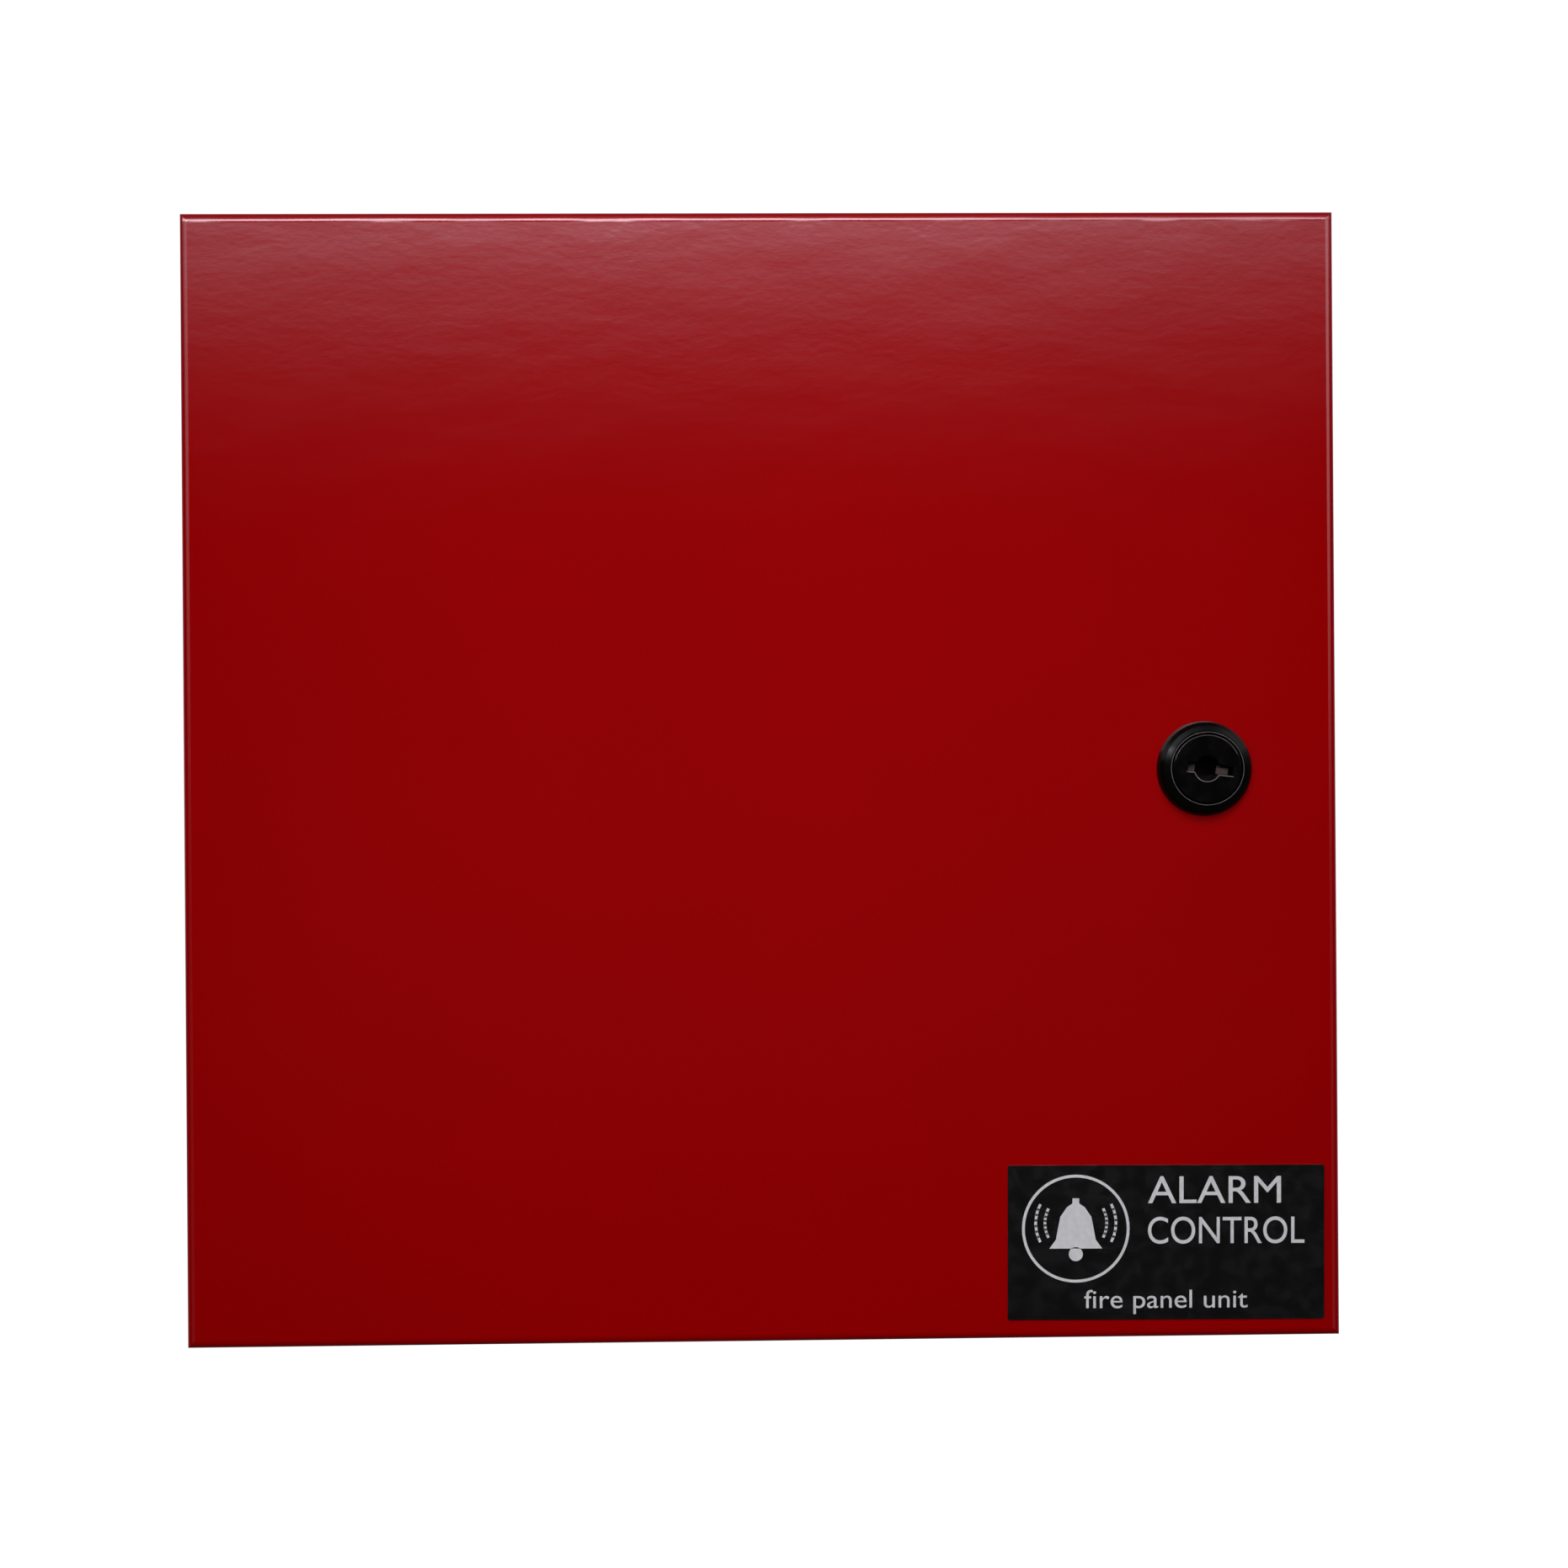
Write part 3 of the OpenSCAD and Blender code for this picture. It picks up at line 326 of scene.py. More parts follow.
def moulded(name, colour, roughness, grain=0.0005, strength=0.15, edge=0.00025, **sockets):
    """Moulded plastic: eased edges, fine grain and slightly uneven gloss."""
    return grained(name, colour, roughness, (0.007, 0.08), (0.004, 0.06), (grain,), strength, 0.00005,
                   edge, **sockets)


def rubber(name, colour):
    made = Finish(name, colour, 0.62, Sheen_Weight=0.12)
    made.mottle(0.005, 0.07).wander(0.003, 0.08)
    dots = made.shader.cells(0.0007)
    return made.relief(dots, 0.10, 0.00005, 0.0004)


def metal(name, colour, roughness, streak=(1, 1, 1)):
    """Bare or plated metal, with fine drawn streaks along the axis that has the smallest stretch."""
    return grained(name, colour, roughness, (0.004, 0.12), (0.0012, 0.08, streak), (0.0008, 2.0, streak),
                   0.12, 0.00003, 0.0002, Metallic=1.0)


def brass():
    """Turned brass, near black within 9 mm behind the plug's face, where the wafers show in the keyway:
    painted shade of the keyway's depth, and partly dirt.
    """
    made = metal("wafer_brass", (0.40, 0.31, 0.17), 0.45, (1, 5, 5))
    mouth = box("lock_plug")[0].y + 0.009
    # painted shade, partly dirt: brass nearer than 9 mm behind the plug's face turns near black
    dirt_and_shade = made.shader.step(made.shader.axis("Y"), mouth, mouth + 0.0005, 1.0, 0.0)
    return made.over(dirt_and_shade, (0.026, 0.025, 0.020))


def zinc_plate():
    """Bright zinc: faint spangle and a warm and cool passivation tint."""
    made = Finish("zinc_plate", (0.56, 0.57, 0.59), 0.44, Metallic=0.85)
    shader = made.shader
    made.mottle(0.003, 0.10).wander(0.002, 0.08)
    made.over(shader.step(shader.noise(0.006, 2.0), 0.55, 0.75, 0.0, 0.25), (0.70, 0.64, 0.50))
    return made.relief(shader.noise(0.0015, 2.0), 0.05, 0.00002, 0.0002)


def circuit_board():
    """Green solder mask over a poured copper plane, with glass weave and scattered vias."""
    made = Finish("board_green", (0.012, 0.075, 0.030), 0.28, Coat_Weight=0.4, Coat_Roughness=0.12)
    shader = made.shader
    made.mottle(0.030, 0.10)
    pour = shader.step(shader.cells(0.028, feature="DISTANCE_TO_EDGE"), 0.030, 0.045)
    made.over(shader.product(pour, 0.8), (0.017, 0.105, 0.042))
    vias = shader.step(shader.cells(0.0046), 0.085, 0.115, 1.0, 0.0)
    chosen = shader.step(shader.noise(0.014, 1.0), 0.53, 0.56)
    made.over(shader.product(vias, chosen), (0.30, 0.33, 0.24))
    made.wander(0.004, 0.05)
    weave = shader.total(*[shader.lines(shader.axis(name), 0.0011, 0.0006) for name in "XZ"])
    made.relief(weave, 0.04, 0.00002)
    return made.relief(pour, 0.25, 0.00004)


def laminations():
    """A stack of varnished steel sheets, seen edge-on."""
    made = Finish("core_steel", (0.10, 0.105, 0.115), 0.42, Metallic=0.85)
    shader = made.shader
    seams = shader.lines(shader.axis("Y"), 0.0006, 0.00022)
    made.mottle(0.006, 0.25, (1, 3, 1))
    made.over(shader.step(shader.noise(0.008), 0.56, 0.72, 0.0, 0.5), (0.16, 0.09, 0.05))
    made.wander(0.003, 0.10, (1, 8, 1))
    return made.relief(seams, 0.6, 0.00012, 0.0003)


def winding_tape():
    """Yellow film wound over the coil, with lapped seams and a soft sheen."""
    made = Finish("winding_tape", (0.62, 0.42, 0.05), 0.30, Coat_Weight=0.5, Coat_Roughness=0.15)
    shader = made.shader
    made.mottle(0.010, 0.12, (1, 1, 0.4)).wander(0.006, 0.08)
    laps = shader.lines(shader.axis("Z"), 0.0125, 0.0005)
    made.over(shader.product(laps, 0.5), (0.36, 0.22, 0.02))
    made.relief(shader.noise(0.009, 2.0, (2, 2, 0.5)), 0.4, 0.0004, 0.0005)
    return made.relief(laps, 0.5, 0.0001)


def paper(name, colour):
    return grained(name, colour, 0.55, (0.020, 0.025), (0.005, 0.06), (0.0006,), 0.06, 0.00003,
                   Coat_Weight=0.15, Coat_Roughness=0.25)


def ink(name, colour, roughness=0.45):
    """Screen-printed ink, a little uneven in cover."""
    return grained(name, colour, roughness, (0.0016, 0.06), (0.001, 0.06), (0.0003,), 0.08, 0.00002)


def lcd():
    """A lit green display: a slightly uneven glow, with faint character cells."""
    made = Finish("lcd_green", (0.20, 0.34, 0.05), 0.16, Coat_Weight=0.6, Coat_Roughness=0.04)
    shader = made.shader
    columns = shader.lines(shader.axis("X"), 0.0036, 0.0007)
    rows = shader.lines(shader.axis("Z"), 0.0060, 0.0009)
    cells = shader.math("MAXIMUM", columns, rows)
    glow = shader.step(shader.noise(0.05, 1.0), 0.3, 0.7, 0.24, 0.34)
    shown = shader.mix(cells, (0.30, 0.50, 0.05, 1), (0.36, 0.58, 0.07, 1))
    made.mottle(0.02, 0.06).wander(0.01, 0.03)
    return made.sockets(Emission_Color=shown, Emission_Strength=glow)


def lens(name, colour, glow):
    """A tinted lamp lens with moulded flutes."""
    made = Finish(name, colour, 0.14, Coat_Weight=0.7, Coat_Roughness=0.05, Subsurface_Weight=0.25,
                  Subsurface_Radius=(0.001, 0.001, 0.001), Emission_Color=(*colour, 1),
                  Emission_Strength=glow)
    made.mottle(0.0012, 0.18).wander(0.001, 0.05)
    return made.relief(made.shader.cells(0.0006), 0.12, 0.00005, 0.0002)


def glass():
    return grained("clear_glass", (0.93, 0.97, 0.97), 0.05, (0.004, 0.03), (0.003, 0.03), (0.004, 1.0),
                   0.10, 0.00008, Transmission_Weight=0.92, IOR=1.47)


def ribbon():
    """Grey flat cable: moulded ribs, one for each core, with one edge core marked red."""
    made = Finish("ribbon_grey", (0.30, 0.31, 0.32), 0.45)
    shader = made.shader
    low, high = box("ribbon_cable")
    across = "XYZ"[max(range(3), key=lambda i: (high - low)[i])]
    made.mottle(0.006, 0.06).wander(0.004, 0.06)
    cores = shader.lines(shader.axis(across), 0.00127, 0.0009)
    edge_core = low["XYZ".index(across)] + 0.0013
    marked = shader.step(shader.axis(across), edge_core - 0.0001, edge_core + 0.0001, 1.0, 0.0)
    made.over(marked, (0.42, 0.02, 0.02))
    return made.relief(cores, 0.6, 0.0003)


def insulation(name, colour):
    return grained(name, colour, 0.34, (0.010, 0.10), (0.006, 0.07), (0.002, 2.0), 0.10, 0.0001,
                   Coat_Weight=0.2, Coat_Roughness=0.2)


MATERIALS = {finish.name: finish.made for finish in (
    enamel("red_enamel", (0.285, 0.0001, 0.0008)),
    zinc_plate(),
    metal("pin_steel", (0.50, 0.51, 0.53), 0.30, (6, 6, 1)),
    rubber("bumper_rubber", (0.020, 0.020, 0.022)),
    moulded("plate_black", (0.0052, 0.0053, 0.0056), 0.20, 0.0006, 0.05, None,
            Specular_IOR_Level=0.30),
    paper("label_white", (0.72, 0.72, 0.69)),
    moulded("lock_black", (0.0018, 0.0019, 0.0018), 0.17, 0.0009, 0.05, 0.0003,
            Specular_IOR_Level=0.024, Specular_Tint=(0.70, 1.0, 0.90, 1)),
    moulded("plug_black", (0.0018, 0.0018, 0.0017), 0.16, 0.0007, 0.03, 0.0002,
            Specular_IOR_Level=0.08),
    brass(),
    circuit_board(),
    moulded("block_black", (0.016, 0.017, 0.018), 0.44, 0.0004, 0.15),
    moulded("relay_white", (0.62, 0.61, 0.56), 0.38, 0.0006, 0.10),
    moulded("sleeve_blue", (0.006, 0.012, 0.050), 0.24, 0.0030, 0.12, 0.0008,
            Coat_Weight=0.4),
    moulded("sink_black", (0.018, 0.018, 0.020), 0.40, 0.0003, 0.2, 0.0003, Metallic=0.6),
    glass(),
    ribbon(),
    moulded("bezel_grey", (0.045, 0.047, 0.052), 0.50, 0.0004, 0.35, 0.0005),
    lcd(),
    lens("led_green", (0.03, 0.60, 0.10), 1.6),
    lens("led_red", (0.33, 0.012, 0.010), 0.03),
    lens("led_yellow", (0.48, 0.22, 0.012), 0.03),
    rubber("key_yellow", (0.58, 0.34, 0.02)),
    rubber("key_grey", (0.20, 0.21, 0.22)),
    rubber("key_red", (0.36, 0.014, 0.012)),
    laminations(),
    moulded("bobbin_cream", (0.60, 0.54, 0.38), 0.42, 0.0006, 0.12),
    winding_tape(),
    moulded("battery_case", (0.020, 0.022, 0.025), 0.48, 0.0008, 0.30, 0.0008),
    moulded("battery_lid", (0.028, 0.031, 0.035), 0.44, 0.0008, 0.30, 0.0008),
    insulation("wire_red", (0.42, 0.010, 0.010)),
    insulation("wire_black", (0.012, 0.012, 0.013)),
    insulation("wire_blue", (0.010, 0.045, 0.26)),
    insulation("wire_yellow", (0.56, 0.40, 0.02)),
    insulation("wire_green", (0.012, 0.22, 0.035)),
    ink("ink_white", (0.56, 0.56, 0.55)),
    ink("ink_silver", (0.50, 0.51, 0.53), 0.50),
    ink("ink_black", (0.012, 0.012, 0.013)),
    ink("ink_grey", (0.22, 0.22, 0.23)),
    ink("ink_red", (0.36, 0.012, 0.012)),
    ink("ink_yellow", (0.66, 0.46, 0.02)),
    ink("ink_green", (0.015, 0.20, 0.05)),
    # painted highlights for the lock's edges: the bezel's crest, the plug's edge and the key slot's lips
    ink("edge_highlight", (0.034, 0.034, 0.033), 0.35),
    ink("lip_highlight", (0.095, 0.092, 0.088), 0.40),
    ink("ink_segment", (0.010, 0.022, 0.006), 0.30),
    metal("tinned_leads", (0.66, 0.67, 0.68), 0.28),
    metal("masked_copper", (0.030, 0.20, 0.075), 0.34),
    metal("can_top", (0.74, 0.75, 0.77), 0.24, (1, 1, 5)),
    moulded("ceramic", (0.26, 0.19, 0.12), 0.50, 0.0003, 0.1, None),
    moulded("chip_resin", (0.020, 0.020, 0.021), 0.50, 0.0003, 0.2, None),
    # painted shade: near black, for the disc that stands in for the buzzer's sound hole
    moulded("hole_shade", (0.004, 0.004, 0.004), 0.80, 0.0004, 0.1, None),
    moulded("sleeve_red", (0.40, 0.012, 0.012), 0.36, 0.0008, 0.1),
    moulded("sleeve_black", (0.014, 0.014, 0.015), 0.36, 0.0008, 0.1),
    moulded("lug_sleeve_blue", (0.012, 0.06, 0.30), 0.36, 0.0008, 0.1),
)}


def dress():
    """Gives each CAD node the material of its slot."""
    for part in frame["record"]["subparts"]:
        for slot in NODES[part["node"]].material_slots:
            slot.material = MATERIALS[part["material_slot"]]


# ---------- building pieces ----------

def to_mesh(name, bm):
    mesh = bpy.data.meshes.new(name)
    bmesh.ops.recalc_face_normals(bm, faces=bm.faces)
    bm.to_mesh(mesh)
    bm.free()
    return mesh


def add_piece(name, bm, finish, body="cabinet", round_walls=False):
    """One piece with its own finish, which rides on a body.
    Round walls are smoothed and flat ends stay flat."""
    mesh = to_mesh(name, bm)
    for face in mesh.polygons:
        face.use_smooth = round_walls and len(face.vertices) == 4
    piece = add_object(name, mesh)
    mesh.materials.append(MATERIALS[finish])
    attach(piece, body)


def add_block(bm, low, high):
    """A rectangular block between two corners."""
    middle, size = (low + high) / 2, high - low
    bmesh.ops.create_cube(bm, size=1.0, matrix=Matrix.Translation(middle) @ Matrix.Diagonal((*size, 1)))


def add_drum(bm, middle, radius, length, direction="Y", sides=40):
    """A closed cylinder about a middle, along the X or the Y axis."""
    turn = Matrix.Rotation(math.pi / 2, 4, "Y" if direction == "X" else "X")
    bmesh.ops.create_cone(bm, cap_ends=True, segments=sides, radius1=radius, radius2=radius, depth=length,
                          matrix=Matrix.Translation(middle) @ turn)


def row_along(low, high, pitch, fewer=0):
    """Places at a pitch along X, centred between two corners, and as many as fit less some."""
    count = int((high.x - low.x) / pitch) - fewer
    return [(low.x + high.x) / 2 + (k - (count - 1) / 2) * pitch for k in range(count)]


def arc(radius, first, last, step, u=0.0, v=0.0):
    """Points round a middle, from one angle in degrees to another."""
    turns = [math.radians(turn) for turn in range(first, last + 1, step)]
    return [(u + radius * math.cos(turn), v + radius * math.sin(turn)) for turn in turns]


class Print:
    """Thin raised marks on one plane, in millimetres from its centre: u to the viewer's right and v up."""

    def __init__(self, centre, facing=-1, thickness=0.04, lean=0.0, lift=0.0):
        self.bm = bmesh.new()
        self.facing, self.thickness = facing, thickness * MM
        self.centre = centre + Vector((0, facing * lift * MM, 0))
        self.turn = math.radians(lean)

    def spot(self, u, v, out=0.0):
        x = (u * math.cos(self.turn) - v * math.sin(self.turn)) * MM * -self.facing
        z = (u * math.sin(self.turn) + v * math.cos(self.turn)) * MM
        return self.centre + Vector((x, self.facing * out, z))

    def shape(self, points):
        """A raised outline: its face and its walls."""
        top = [self.bm.verts.new(self.spot(u, v, self.thickness)) for u, v in points]
        foot = [self.bm.verts.new(self.spot(u, v)) for u, v in points]
        self.bm.faces.new(top)
        for i in range(len(points)):
            j = (i + 1) % len(points)
            self.bm.faces.new((top[i], foot[i], foot[j], top[j]))
        return self

    def bar(self, u, v, w, h):
        """A rectangle about a middle."""
        return self.shape([(u + a * w / 2, v + b * h / 2) for a, b in ((-1, -1), (1, -1), (1, 1), (-1, 1))])

    def disc(self, u, v, r, sides=40):
        turns = [2 * math.pi * k / sides for k in range(sides)]
        return self.shape([(u + r * math.cos(a), v + r * math.sin(a)) for a in turns])

    def ring(self, u, v, outer, line):
        sides = 64
        for k in range(sides):
            a, b = (2 * math.pi * (k + i) / sides for i in (0, 1))
            self.shape([(u + r * math.cos(t), v + r * math.sin(t))
                        for r, t in ((outer, a), (outer, b), (outer - line, b), (outer - line, a))])
        return self

    def box(self, u, v, w, h, line):
        """The outline of a rectangle."""
        for side in (-1, 1):
            self.bar(u, v + side * (h - line) / 2, w, line)
            self.bar(u + side * (w - line) / 2, v, line, h - 2 * line)
        return self

    def stroke(self, points, line):
        """A path of straight strokes with round joints."""
        for (u0, v0), (u1, v1) in zip(points, points[1:]):
            length = math.hypot(u1 - u0, v1 - v0)
            nu, nv = -(v1 - v0) / length * line / 2, (u1 - u0) / length * line / 2
            self.shape([(u0 + nu, v0 + nv), (u0 - nu, v0 - nv), (u1 - nu, v1 - nv), (u1 + nu, v1 + nv)])
        for u, v in points[1:-1]:
            self.disc(u, v, line / 2, 12)
        return self

    def dashes(self, left, right, v, most, longest, line):
        """A row of plain marks of random lengths, as text too small to read."""
        for _ in range(random.randint(3, most)):
            length = random.uniform(4, longest)
            if left + length > right:
                break
            self.bar(left + length / 2, v, length, line)
            left += length + 1.6

    def spoke(self, u, v, reach, turn, line):
        """A stroke through a middle, at an angle in degrees."""
        [(du, dv)] = arc(reach, turn, turn, 1)
        return self.stroke([(u - du, v - dv), (u + du, v + dv)], line)

    def words(self, text, left, foot, width, height):
        """Plain lettering, stretched to fill a rectangle from its lower left corner."""
        curve = bpy.data.curves.new("words", "FONT")
        curve.body = text
        holder = add_object("words", curve)
        bpy.context.view_layer.update()
        mesh = bpy.data.meshes.new_from_object(holder)
        bpy.data.objects.remove(holder)
        low, high = span([v.co for v in mesh.vertices])
        across, up = width / (high.x - low.x), height / (high.y - low.y)
        spots = [(left + (v.co.x - low.x) * across, foot + (v.co.y - low.y) * up) for v in mesh.vertices]
        raised = [self.bm.verts.new(self.spot(u, v, self.thickness)) for u, v in spots]
        for face in mesh.polygons:
            self.bm.faces.new([raised[i] for i in face.vertices])
        bpy.data.meshes.remove(mesh)
        return self

    def done(self, name, finish, slot, body="cabinet"):
        add_piece(name, self.bm, finish, body)


# ---------- pieces on the door ----------

PLATE_LEAN = -0.4
EMBLEM_U, EMBLEM_V, EMBLEM_RADIUS = -24.6, 3.8, 14.6
CREST_RADIUS = 9.9
PLUG_EDGE_RADIUS = CREST_RADIUS - 0.95
KEY_TILT = 7
SLOT_LEFT, SLOT_RIGHT, SLOT_DROP, SLOT_HOLE = -5.4, 7.2, 1.45, 3.6
BELL = [(-7.2, -5.0), (7.2, -5.0), (5.4, -2.6), (4.8, 0.6), (4.2, 3.6), (2.4, 6.2), (0.9, 7.2), (0.9, 8.6),
        (-0.9, 8.6), (-0.9, 7.2), (-2.4, 6.2), (-4.2, 3.6), (-4.8, 0.6), (-5.4, -2.6)]


def nameplate_print():
    """A generic ringing bell in a ring, with plain words beside and under it."""
    plate = box("nameplate")
    art = Print(front_of(plate), thickness=0.05, lean=PLATE_LEAN)
    art.ring(EMBLEM_U, EMBLEM_V, EMBLEM_RADIUS, 0.75)
    art.shape([(EMBLEM_U + u, EMBLEM_V + v - 0.4) for u, v in BELL]).disc(EMBLEM_U, EMBLEM_V - 6.9, 1.9)
    for side in (-1, 1):
        for reach in (8.4, 10.9):
            waves = arc(reach, -28, 28, 8, v=EMBLEM_V + 1.5)
            art.stroke([(EMBLEM_U + side * u, v) for u, v in waves], 0.7)
    art.words("ALARM", -5.0, 10.6, 36.2, 7.3).words("CONTROL", -5.0, -0.4, 42.6, 7.3)
    art.words("fire panel unit", -22.3, -19.4, 44.4, 6.6)
    art.done("nameplate_print", "ink_silver", "plate_black", "door_assembly")


def lock_edges():
    """Painted highlights: thin bright lines round the bezel's crest, on the upper arc of the plug's edge and
    along the key slot's lower lips, where light catches these edges.
    """
    crest, plug = front_of(box("lock_body")), front_of(box("lock_plug"))
    # painted highlight: a bright line round the bezel's crest
    ring = Print(crest, thickness=0.01).ring(0, 0, CREST_RADIUS, 0.18)
    ring.done("lock_crest_highlight", "edge_highlight", "lock_black", "door_assembly")
    # painted highlight on the upper arc of the plug's edge only, the part that faces the light above
    edge = Print(plug, thickness=0.01).stroke(arc(PLUG_EDGE_RADIUS, 25, 165, 10), 0.12)
    edge.done("lock_plug_highlight", "edge_highlight", "plug_black", "lock_core")
    corner = math.asin(SLOT_DROP / SLOT_HOLE)
    turns = [math.pi + corner + (math.pi - 2 * corner) * k / 12 for k in range(13)]
    bowl = [(SLOT_HOLE * math.cos(turn), SLOT_HOLE * math.sin(turn)) for turn in turns]
    # painted highlight along the key slot's lower lips and round the bottom of its hole
    lip = Print(plug, thickness=0.01, lean=-KEY_TILT)
    lip.stroke([(SLOT_LEFT, -SLOT_DROP), *bowl, (SLOT_RIGHT, -SLOT_DROP)], 0.17)
    lip.done("lock_slot_highlight", "lip_highlight", "plug_black", "lock_core")


def door_label_print():
    """A wiring chart inside the door: a heading, ruled boxes, a small diagram and lines of plain marks."""
    random.seed(4)
    label = box("door_label")
    centre = front_of(label)
    centre.y = label[1].y
    w, h = size_mm(label)
    black, red, grey = (Print(centre, facing=1, thickness=0.02) for _ in range(3))
    black.box(0, 0, w - 6, h - 6, 0.5)
    red.bar(0, h / 2 - 10, w - 10, 9)
    columns, rows, pitch = 3, 9, 7.4
    column_w = (w - 16) / columns
    for column in range(columns):
        u = (column - 1) * (column_w + 1)
        black.box(u, -6.5, column_w - 2, h - 34, 0.35)
        for row in range(rows):
            v = h / 2 - 24 - row * pitch
            if column == 1 and row > 4:
                continue
            grey.dashes(u - column_w / 2 + 4, u + column_w / 2 - 4, v, 5, 11, 1.3)
            black.bar(u, v - pitch / 2, column_w - 4, 0.2)
    foot = -h / 2 + 15
    for k in range(5):
        u = -18 + k * 9
        black.box(u, foot, 5.5, 5.5, 0.4).disc(u, foot, 1.2, 20)
        black.stroke([(u, foot + 2.8), (u, foot + 8 + 2 * (k % 2)), (0, foot + 14)], 0.35)
    words = Print(centre, facing=1, thickness=0.01, lift=0.021)
    words.words("WIRING DIAGRAM", -30, h / 2 - 12.2, 60, 4.4)
    for art, name, finish in ((black, "lines", "ink_black"), (red, "heading", "ink_red"),
                              (grey, "marks", "ink_grey"), (words, "words", "ink_white")):
        art.done(f"door_label_{name}", finish, "label_white", "door_assembly")


# ---------- pieces on the display ----------

KEY_WORDS = ("SILENCE", "UP", "DOWN", "RESET", "ENTER")
STATUS_WORDS = ("POWER", "ALARM", "WATCH", "TROUBLE", "SILENT")


def bezel_print():
    """White legends: words by the lamps and keys, rules between the zones and a frame round the keys."""
    face = front_of(box("display_bezel"))
    art = Print(face)

    def at(point):
        return (point.x - face.x) / MM, (point.z - face.z) / MM

    spots = [at(front_of(led)) for hue in ("red", "yellow", "green") for led in solids(f"leds_{hue}")]
    keys = [at(front_of(box(f"button_{k}"))) for k in range(1, 6)]
    status_v = min(v for _, v in spots)
    zones = [spot for spot in spots if spot[1] > status_v + 5]
    status = sorted(spot for spot in spots if spot[1] <= status_v + 5)
    alarm_u, trouble_u = (pick(u for u, _ in zones) for pick in (min, max))
    top_v = max(v for _, v in zones)
    for text, u, width in (("ALARM", alarm_u, 8.8), ("TROUBLE", trouble_u, 11.6)):
        art.words(text, u - width / 2, top_v + 4.6, width, 1.7)
    for row, v in enumerate(sorted({round(v, 1) for _, v in zones}, reverse=True)):
        art.words(f"ZONE {row + 1}", alarm_u - 15.4, v - 0.9, 10.4, 1.8)
        art.bar((alarm_u + trouble_u) / 2 - 1.5, v - 6, trouble_u - alarm_u + 28, 0.25)
    for row, texts, lift in ((status, STATUS_WORDS, 3.6), (keys, KEY_WORDS, 7.2)):
        for (u, v), text in zip(row, texts):
            art.words(text, u - 0.75 * len(text), v + lift, 1.5 * len(text), 1.7)
    middle = (keys[0][0] + keys[-1][0]) / 2
    art.box(middle, keys[0][1] + 2.2, keys[-1][0] - keys[0][0] + 25, 17.6, 0.3)
    art.done("bezel_print", "ink_white", "bezel_grey")


def key_icons():
    """One plain sign on each key, which moves with it."""
    for k in range(1, 6):
        node = f"button_{k}"
        art = Print(front_of(box(node)))
        if k == 1:
            art.ring(0, 0, 2.6, 0.5).stroke([(-1.8, -1.8), (1.8, 1.8)], 0.5)
        elif k in (2, 3):
            way = 1 if k == 2 else -1
            art.shape([(-2.4, -1.4 * way), (2.4, -1.4 * way), (0, 2.2 * way)][::way])
        elif k == 4:
            art.stroke(arc(2.3, 70, 370, 20), 0.55)
            art.shape([(1.0, 0.2), (3.6, 0.2), (2.3, 2.0)])
        else:
            art.stroke([(-2.2, 0.1), (-0.6, -1.7), (2.4, 1.8)], 0.6)
        art.done(f"{node}_icon", "ink_black" if k == 1 else "ink_white", "key_grey", f"{node}_body")


def lcd_marks():
    """Dark blocks in the display's cells: a heading, a clock, a row of bars and a level bar."""
    art = Print(front_of(box("lcd_glass")), thickness=0.02)
    pitch_u, pitch_v, cell_u, cell_v = 3.6, 6.0, 2.5, 4.2

    def cell(column, row):
        return (column - 9.5) * pitch_u, (1.5 - row) * pitch_v

    for column in range(20):
        u, v = cell(column, 0)
        art.bar(u, v, cell_u, 0.5)
        u, v = cell(column, 3)
        if column < 13:
            art.bar(u, v, cell_u, cell_v)
        else:
            art.box(u, v, cell_u, cell_v, 0.3)
    for column in (3, 4, 6, 7, 12, 13, 15, 16):
        u, v = cell(column, 1)
        art.box(u, v, cell_u, cell_v, 0.5).bar(u, v, cell_u - 0.8, 0.5)
    for column in range(2, 18, 3):
        u, v = cell(column, 2)
        art.bar(u + pitch_u / 2, v, cell_u + pitch_u, 0.7)
    art.done("lcd_marks", "ink_segment", "lcd_green")


# ---------- pieces on the main board ----------

TRACK_FAMILIES, TRACK_PITCH, TRACK_LINE, VIA_RADIUS = 34, 1.3, 0.45, 0.55
PART_TRIES, PART_COUNT, PART_GAP = 900, 170, 2.4 * MM
PART_SIZES = ((1.6, 0.8, 0.5), (2.0, 1.25, 0.7), (2.0, 1.25, 0.9))  # long, wide and tall
GRID_X, GRID_Z, GRID_COLUMNS, GRID_ROWS = 3.2 * MM, 3.0 * MM, 77, 46
LEG_PITCH, PIN_PITCH = 1.27 * MM, 3.96 * MM


def board_print():
    """Silkscreen outlines round the parts and a tick at each terminal."""
    face = front_of(box("main_board"))
    art = Print(face, thickness=0.03)

    def outline(corners, gap, line=0.25):
        at, (w, h) = front_of(corners), size_mm(corners)
        art.box((at.x - face.x) / MM, (at.z - face.z) / MM, w + 2 * gap, h + 2 * gap, line)

    for node in ("relays", "chips", "wire_connectors", "terminal_blocks", "mains_block", "heat_sink"):
        for corners in solids(node):
            outline(corners, 0.9)
    for clip in solids("fuse_clips")[::2]:
        low, _ = clip
        outline((low - Vector((1.5 * MM, 0, 0)), low + Vector((23 * MM, 0, 7 * MM))), 0.4)
    for corners in solids("capacitors") + solids("buzzer"):
        at, (w, _) = front_of(corners), size_mm(corners)
        art.ring((at.x - face.x) / MM, (at.z - face.z) / MM, w / 2 + 1.0, 0.3)
    _, board_h = size_mm(box("main_board"))
    for screw in solids("terminal_screws"):
        at = front_of(screw)
        row = 1 if at.z > face.z else -1
        art.bar((at.x - face.x) / MM, row * (board_h / 2 - 16.6), 0.35, 1.4)
    art.done("board_silkscreen", "ink_white", "board_green")


